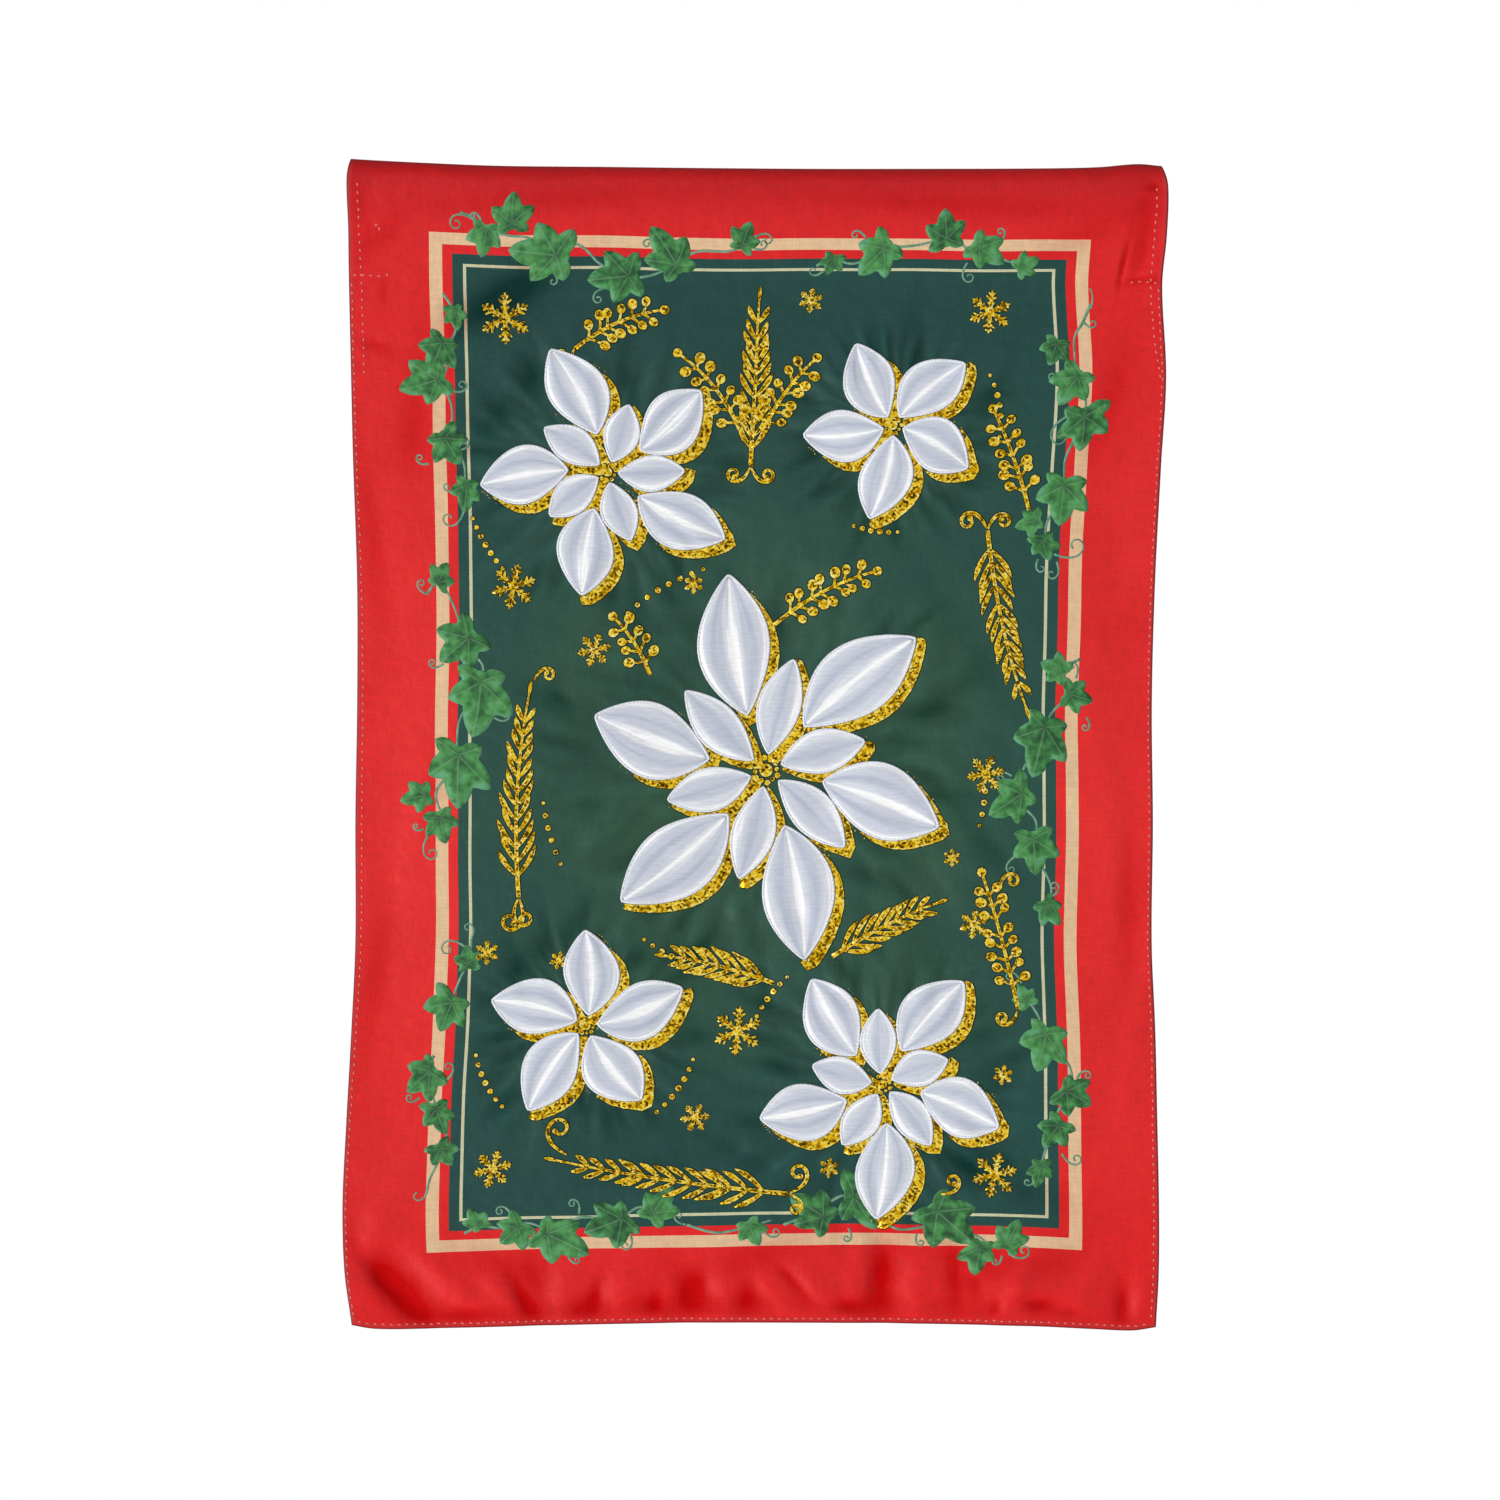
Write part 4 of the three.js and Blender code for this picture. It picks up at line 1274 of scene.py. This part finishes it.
# across, down, size over all, heading, narrowing
ivyLeaves = [
    (119, 62, 31, 190, 0.9), (142, 46, 35, 352, 1.0), (172, 77, 58, 278, 0.95), (237, 97, 53, 262, 0.9),
    (283, 80, 48, 335, 0.85), (344, 65, 26, 20, 1.0), (421, 83, 24, 200, 0.9), (461, 75, 42, 230, 1.0),
    (519, 57, 38, 350, 0.95), (553, 73, 37, 120, 0.9), (590, 86, 24, 60, 1.0), (93, 131, 22, 160, 1.0),
    (78, 161, 37, 205, 0.95), (69, 191, 44, 250, 0.9), (84, 244, 38, 150, 1.0), (99, 284, 31, 195, 0.9),
    (75, 362, 24, 30, 1.0), (94, 418, 52, 230, 0.9), (110, 460, 57, 185, 1.0), (90, 524, 56, 190, 0.95),
    (58, 552, 30, 255, 0.9), (77, 575, 33, 160, 1.0), (101, 695, 26, 350, 0.9), (85, 737, 40, 210, 1.0),
    (66, 795, 40, 240, 0.95), (79, 830, 35, 170, 0.9), (85, 863, 28, 150, 1.0), (615, 158, 26, 200, 1.0),
    (630, 188, 40, 215, 0.9), (642, 225, 47, 170, 1.0), (625, 285, 45, 190, 1.0), (599, 310, 26, 255, 0.9),
    (610, 331, 28, 165, 1.0), (625, 440, 30, 300, 0.95), (642, 462, 30, 100, 1.0),
    (612, 498, 52, 200, 0.95), (588, 552, 47, 240, 0.9), (605, 595, 42, 170, 1.0), (619, 649, 28, 140, 0.9),
    (597, 728, 24, 330, 1.0), (612, 765, 43, 200, 0.95), (636, 811, 37, 120, 1.0), (621, 843, 36, 220, 0.9),
    (608, 878, 24, 180, 1.0), (118, 924, 24, 330, 0.9), (150, 933, 35, 220, 1.0), (184, 940, 45, 120, 0.95),
    (238, 927, 42, 240, 1.0), (273, 915, 38, 30, 0.9), (355, 934, 26, 160, 1.0), (414, 919, 44, 310, 0.9),
    (454, 906, 54, 95, 1.0), (523, 923, 54, 140, 0.95), (555, 953, 33, 190, 1.0), (580, 940, 31, 20, 0.9),
]
# lines of across, down that the stalks follow
ivyStems = [
    [(98, 43), (110, 48), (121, 58), (140, 62), (158, 64), (178, 74)],
    [(190, 66), (205, 72), (220, 86), (240, 92)], [(250, 98), (268, 94), (284, 86)],
    [(288, 82), (305, 74), (330, 74), (345, 68)], [(408, 86), (421, 80), (440, 84), (460, 76)],
    [(470, 70), (495, 68), (517, 62)], [(522, 60), (540, 72), (556, 76), (575, 82), (592, 86)],
    [(82, 113), (90, 126), (92, 146), (84, 160), (84, 178), (76, 192)], [(82, 196), (88, 214), (86, 240)],
    [(88, 244), (98, 262), (98, 284)], [(62, 376), (72, 366), (84, 380), (94, 408)],
    [(98, 424), (112, 436), (112, 452)], [(104, 466), (92, 486), (90, 512)],
    [(88, 528), (72, 548), (78, 570)], [(104, 676), (102, 694), (94, 712), (88, 730)],
    [(74, 778), (68, 792), (74, 812), (80, 828)], [(80, 832), (88, 846), (86, 862), (76, 884), (72, 900)],
    [(648, 120), (640, 136), (632, 150), (632, 176)], [(634, 180), (640, 196), (642, 216)],
    [(632, 240), (626, 256), (626, 276)], [(620, 296), (612, 312), (612, 328)],
    [(646, 430), (630, 440), (640, 458)], [(640, 462), (624, 474), (614, 490)],
    [(608, 508), (596, 526), (590, 546)], [(592, 558), (606, 572), (606, 590)],
    [(608, 606), (620, 628), (620, 646)], [(590, 716), (598, 728), (608, 744), (612, 758)],
    [(620, 772), (634, 786), (638, 806)], [(634, 816), (624, 826), (620, 842)],
    [(618, 848), (612, 862), (608, 876)], [(106, 934), (120, 928), (140, 930), (162, 926), (184, 936)],
    [(190, 932), (208, 922), (236, 926)], [(242, 924), (258, 914), (272, 916)],
    [(300, 930), (326, 937), (352, 932), (374, 926)], [(384, 930), (400, 924), (414, 920)],
    [(418, 914), (436, 904), (452, 906)], [(462, 916), (480, 932), (500, 932), (522, 924)],
    [(534, 934), (552, 938), (566, 946), (580, 938)],
]
# across, down, heading, length, curl
ivyTendrils = [
    (112, 50, 298, 46, -400), (116, 50, 338, 21, -420), (268, 76, 350, 29, -380), (224, 106, 248, 30, -380),
    (352, 62, 62, 30, 350), (350, 70, 112, 26, -350), (415, 90, 232, 22, 300), (540, 82, 208, 34, -360),
    (450, 62, 322, 24, -350), (566, 66, 38, 24, -380), (178, 92, 140, 20, 300), (84, 196, 112, 34, -400),
    (92, 250, 78, 26, -380), (98, 300, 200, 42, 330), (90, 284, 250, 20, 350), (62, 376, 300, 26, 380),
    (122, 482, 120, 30, -420), (78, 436, 238, 28, 420), (66, 584, 208, 44, -380), (62, 580, 250, 20, 400),
    (100, 684, 304, 44, -380), (104, 676, 18, 24, -300), (86, 800, 42, 30, -380), (64, 814, 230, 24, 380),
    (74, 892, 190, 26, 260), (68, 262, 262, 26, 400), (648, 124, 14, 18, -50), (640, 134, 142, 22, -320),
    (622, 182, 230, 26, 380), (628, 216, 238, 46, -260), (618, 338, 108, 52, -330),
    (622, 344, 160, 30, 330), (606, 342, 200, 22, -300), (642, 448, 18, 30, -380),
    (586, 534, 302, 26, -380), (588, 604, 232, 30, -400), (618, 640, 62, 30, -380),
    (594, 716, 338, 30, -380), (640, 798, 30, 28, 400), (626, 862, 148, 36, -380), (604, 886, 210, 20, 340),
    (652, 480, 150, 24, 380), (148, 920, 330, 30, -400), (206, 920, 8, 30, -420), (250, 936, 162, 30, 380),
    (300, 930, 282, 26, 350), (366, 936, 128, 28, -380), (470, 886, 40, 30, -400), (440, 932, 152, 24, 380),
    (578, 952, 118, 38, -380), (574, 954, 190, 22, 400), (196, 956, 150, 20, -350),
    (500, 936, 196, 22, -360),
]
ivyBuild = {
    "around": 60, "rings": 4, "leafProud": 0.2, "stemProud": 0.12, "tendrilProud": 0.15, "film": 0.07,
    "step": 0.02,  # between leaves that overlap
    "lobes": ((0, 1.0, 29), (54, 0.84, 27), (114, 0.62, 30)),  # heading, length and half spread of each lobe
    "between": 0.37, "point": 1.15, "notch": 0.24,
    "overall": 1.36,  # a leaf's size over all against its stalk-to-tip length
    "joint": 0.2,  # where the stalk's joint lies, as a share of that
    # how much leaves differ: one side from the other, lobe from lobe, in bend, lean and length
    "side": (0.05, 0.13), "lobe": (0.02, 0.09), "bend": 0.12, "lean": 0.16, "tall": (0.92, 1.06),
    "stem": (1.3, 0.9), "stemSpan": 7,  # half widths, and points between two that are listed
    "tendril": ([0, 0.85, 1], [1.05, 0.62, 0.85]), "tendrilPoints": 30, "tight": 2.3,
}


def leafReach(angle):
    # how far the blade reaches from the stalk's joint, by degrees round from the tip
    round180 = np.abs((angle + 180) % 360 - 180)
    reach = np.full_like(angle, ivyBuild["notch"])
    for at, length, spread in ivyBuild["lobes"]:
        off = np.abs(round180 - at) / spread
        reach = np.maximum(reach, length * (1 - ivyBuild["between"] * off ** ivyBuild["point"]))
    return reach


def makeLeaves():
    parts = []
    uv, faces = gridTemplate(ivyBuild["around"], ivyBuild["rings"])
    angle = uv[:, 0] * 360
    out = uv[:, 1] * leafReach(angle)
    blade = np.column_stack([out * np.sin(np.radians(angle)), out * np.cos(np.radians(angle))])
    for index, (across, down, size, heading, narrow) in enumerate(ivyLeaves):
        # each leaf has its own lobes, leans, and is seen a little from one side, so no two are alike
        side, lobe = (np.sin(np.radians(times * angle + draw.uniform(0, 360))) for times in (1, 2))
        grown = 1 + draw.uniform(*ivyBuild["side"]) * side + draw.uniform(*ivyBuild["lobe"]) * lobe
        bend = draw.uniform(-ivyBuild["bend"], ivyBuild["bend"]) * out
        x, y = blade.T
        x, y = grown * (x * np.cos(bend) + y * np.sin(bend)), grown * (y * np.cos(bend) - x * np.sin(bend))
        lean = draw.uniform(-ivyBuild["lean"], ivyBuild["lean"])
        x, y = x * narrow + lean * y, (y - ivyBuild["joint"]) * draw.uniform(*ivyBuild["tall"])
        length = size / ivyBuild["overall"]
        proud = ivyBuild["leafProud"] + ivyBuild["step"] * (index % 4)
        flat = placed(length * x, length * y, proud, (across, -down), heading)
        parts.append(part(flat, faces, blade, np.column_stack([uv[:, 1], np.full(len(x), draw.random())])))
    return parts


def smoothLine(points):
    # a soft curve through listed points, across and minus down
    points = np.array(points, float) * (1, -1)
    padded = np.vstack([2 * points[0] - points[1], points, 2 * points[-1] - points[-2]])
    line = []
    for i in range(1, len(padded) - 2):
        a, b, c, d = padded[i - 1:i + 3]
        for t in np.arange(ivyBuild["stemSpan"]) / ivyBuild["stemSpan"]:
            line.append(0.5 * (2 * b + (c - a) * t + (2 * a - 5 * b + 4 * c - d) * t * t
                               + (3 * b - a - 3 * c + d) * t ** 3))
    line.append(points[-1])
    return np.array(line)


def makeStems():
    parts = []
    for points in ivyStems:
        line = smoothLine(points)
        parts.append(stripPart(line, np.linspace(*ivyBuild["stem"], len(line)), level(ivyBuild["stemProud"])))
    for row in ivyTendrils:
        line, share = windingPath(*row, ivyBuild["tendrilPoints"], ivyBuild["tight"])
        parts.append(stripPart(line, np.interp(share, *ivyBuild["tendril"]), level(ivyBuild["tendrilProud"])))
    return parts


buildPiece("ivy_stems", makeStems(), stemMaterial, film=ivyBuild["film"])
buildPiece("ivy_leaves", makeLeaves(), leafMaterial, film=ivyBuild["film"])
print("ivy printed")

# stitching

stitches = {
    "pitch": 7.0,  # from one stitch to the next
    "length": 3.9, "half": 0.85, "height": 0.55, "proud": 0.12,
    "stray": 0.3, "sway": 7,  # how far a stitch lies off its place, and off its row in degrees
    # rows as (in from the edge, down): the hems wander as they were sewn
    "leftHem": [
        (2.6, 106), (2.8, 200), (3.6, 330), (5.4, 480), (6.0, 600), (4.6, 740), (3.2, 860), (2.8, 1010),
    ],
    "rightHem": [(3.4, 106), (3.2, 300), (3.0, 500), (3.2, 700), (4.2, 880), (5.0, 1008)],
    "leftSleeve": [(9.6, 20), (9.4, 60), (11.2, 104), (11.8, 188)],
    "rightSleeve": [(9.4, 20), (10.4, 60), (9.8, 120), (8.6, 158), (4.6, 190)],
    "footHem": [(4, 1011.8), (355.5, 1012.4), (707, 1011.8)],  # across, down
    "backSeam": [(3, 103), (708, 103)],
    "seam": [(2, 101), (16, 100), (33, 101)],  # the ends of the sleeve's seam that come through to the face
    "loose": [(24.5, 57, 60), (27, 60, 20), (33.5, 99, 6)],  # single stitches: across, down, heading
}


def stitchRow(points):
    # stitches along a line of across, down
    line = np.array(points, float)
    run = runAlong(line)
    stray, sway = stitches["stray"], stitches["sway"]
    places = []
    at = stitches["pitch"] / 2
    while at < run[-1]:
        across, down = np.interp(at, run, line[:, 0]), np.interp(at, run, line[:, 1])
        i = min(int(np.searchsorted(run, at)), len(run) - 1)
        right, below = line[i] - line[i - 1]
        heading = math.degrees(math.atan2(right, -below))
        places.append((across + draw.uniform(-stray, stray), down + draw.uniform(-stray, stray),
                       heading + draw.uniform(-sway, sway)))
        at += stitches["pitch"]
    return places


def stitchParts(places, proud):
    # one long bead of thread for each stitch
    bm = bmesh.new()
    bmesh.ops.create_uvsphere(bm, u_segments=6, v_segments=4, radius=1)
    bm.verts.index_update()
    bead, faces = readOut(bm)
    x, y = bead[:, 0] * stitches["half"], bead[:, 1] * stitches["length"] / 2
    own = np.column_stack([x, y * mm])
    z = proud + bead[:, 2] * stitches["height"]
    return [part(placed(x, y, z, (across, -down), heading), faces, own) for across, down, heading in places]


def makeStitches():
    width = cloth["width"]
    rows = [stitches["leftHem"], stitches["leftSleeve"], stitches["seam"]]
    for name, lower in (("rightHem", 0), ("rightSleeve", 0), ("seam", 2)):
        rows.append([(width - inset, down + lower) for inset, down in stitches[name]])
    rows.append(stitches["footHem"])
    through = [place for row in rows for place in stitchRow(row)]
    seam = stitchRow(stitches["backSeam"])
    return (stitchParts(through + stitches["loose"], stitches["proud"])
            + stitchParts(through, -cloth["hemThickness"] - stitches["proud"])
            + stitchParts(seam, -2 * cloth["seamHalf"] - stitches["proud"]))


buildPiece("hem_stitches", makeStitches(), redThreadMaterial, closed=True)
print("hems stitched")

# floor, light and air

floorBoard = {
    "half": 1.1, "place": (0, 0.1, -1.62), "thickness": 0.02,  # m
    # the lamps reach the flag from the front, so the board is lit this much for the eye alone
    "lit": 0.42,
}


def makeFloor():
    # smooth matt white board, well below the flag
    material, tree, shader = startMaterial("matt_white_board")
    grain = addNode(tree, "TexCoord").outputs["Object"]
    grain = addNode(tree, "TexNoise", {"Vector": grain, "Scale": perMm(40), "Detail": 2.0})
    seen = addNode(tree, "LightPath").outputs["Is Camera Ray"]
    plug(tree, shader, {
        "Base Color": setRamp(addNode(tree, "ValToRGB", {0: grain}), [(0.3, "#e9e9e7"), (0.7, "#efefed")]),
        "Roughness": 0.8, "Emission Color": linear("#ffffff"),
        "Emission Strength": addNode(tree, "Math", {0: seen, 1: floorBoard["lit"]}, operation="MULTIPLY"),
    })
    bm = bmesh.new()
    bmesh.ops.create_grid(bm, x_segments=1, y_segments=1, size=floorBoard["half"])
    bmesh.ops.translate(bm, verts=bm.verts, vec=floorBoard["place"])
    bmesh.ops.solidify(bm, geom=bm.faces[:], thickness=floorBoard["thickness"])
    mesh = bpy.data.meshes.new("floor")
    bm.to_mesh(mesh)
    bm.free()
    mesh.materials.append(material)
    floor = bpy.data.objects.new("floor", mesh)
    bpy.context.collection.objects.link(floor)


studio = {
    "air": 0.4,  # strength of the even white surround
    "gloss": 0.1,  # and what of it shows in the cloth's sheen, which comes from the lamps
    # name, direction that the light comes from, width of the source in degrees, strength
    "lamps": [
        ("key_light", (-0.74, -0.62, -0.28), 12, 2.2),
        ("fill_light", (0.60, -0.78, -0.10), 40, 0.3),
        ("front_light", (0.04, -1.0, 0.05), 42, 0.17),
        ("back_light", (0.1, 1.0, 0.0), 30, 1.1),
    ],
}


def makeLight():
    world = bpy.data.worlds.new("white_studio")
    bpy.context.scene.world = world
    world.use_nodes = True
    tree = world.node_tree
    tree.nodes.clear()
    seen = addNode(tree, "LightPath").outputs
    air = addNode(tree, "MapRange", {0: seen["Is Glossy Ray"], 3: studio["air"], 4: studio["gloss"]})
    air = addNode(tree, "Math", {0: air, 1: seen["Is Camera Ray"]}, operation="MAXIMUM")
    air = addNode(tree, "Background", {0: linear("#ffffff"), 1: air})
    addNode(tree, "OutputWorld", {0: air})
    for name, source, wide, strength in studio["lamps"]:
        data = bpy.data.lights.new(name, "SUN")
        data.angle = math.radians(wide)
        data.energy = strength
        lamp = bpy.data.objects.new(name, data)
        lamp.rotation_euler = Vector(source).to_track_quat("Z", "Y").to_euler()
        bpy.context.collection.objects.link(lamp)


makeFloor()
makeLight()
view = bpy.context.scene.view_settings
view.view_transform = "Standard"
view.look = "None"
print("studio lit")
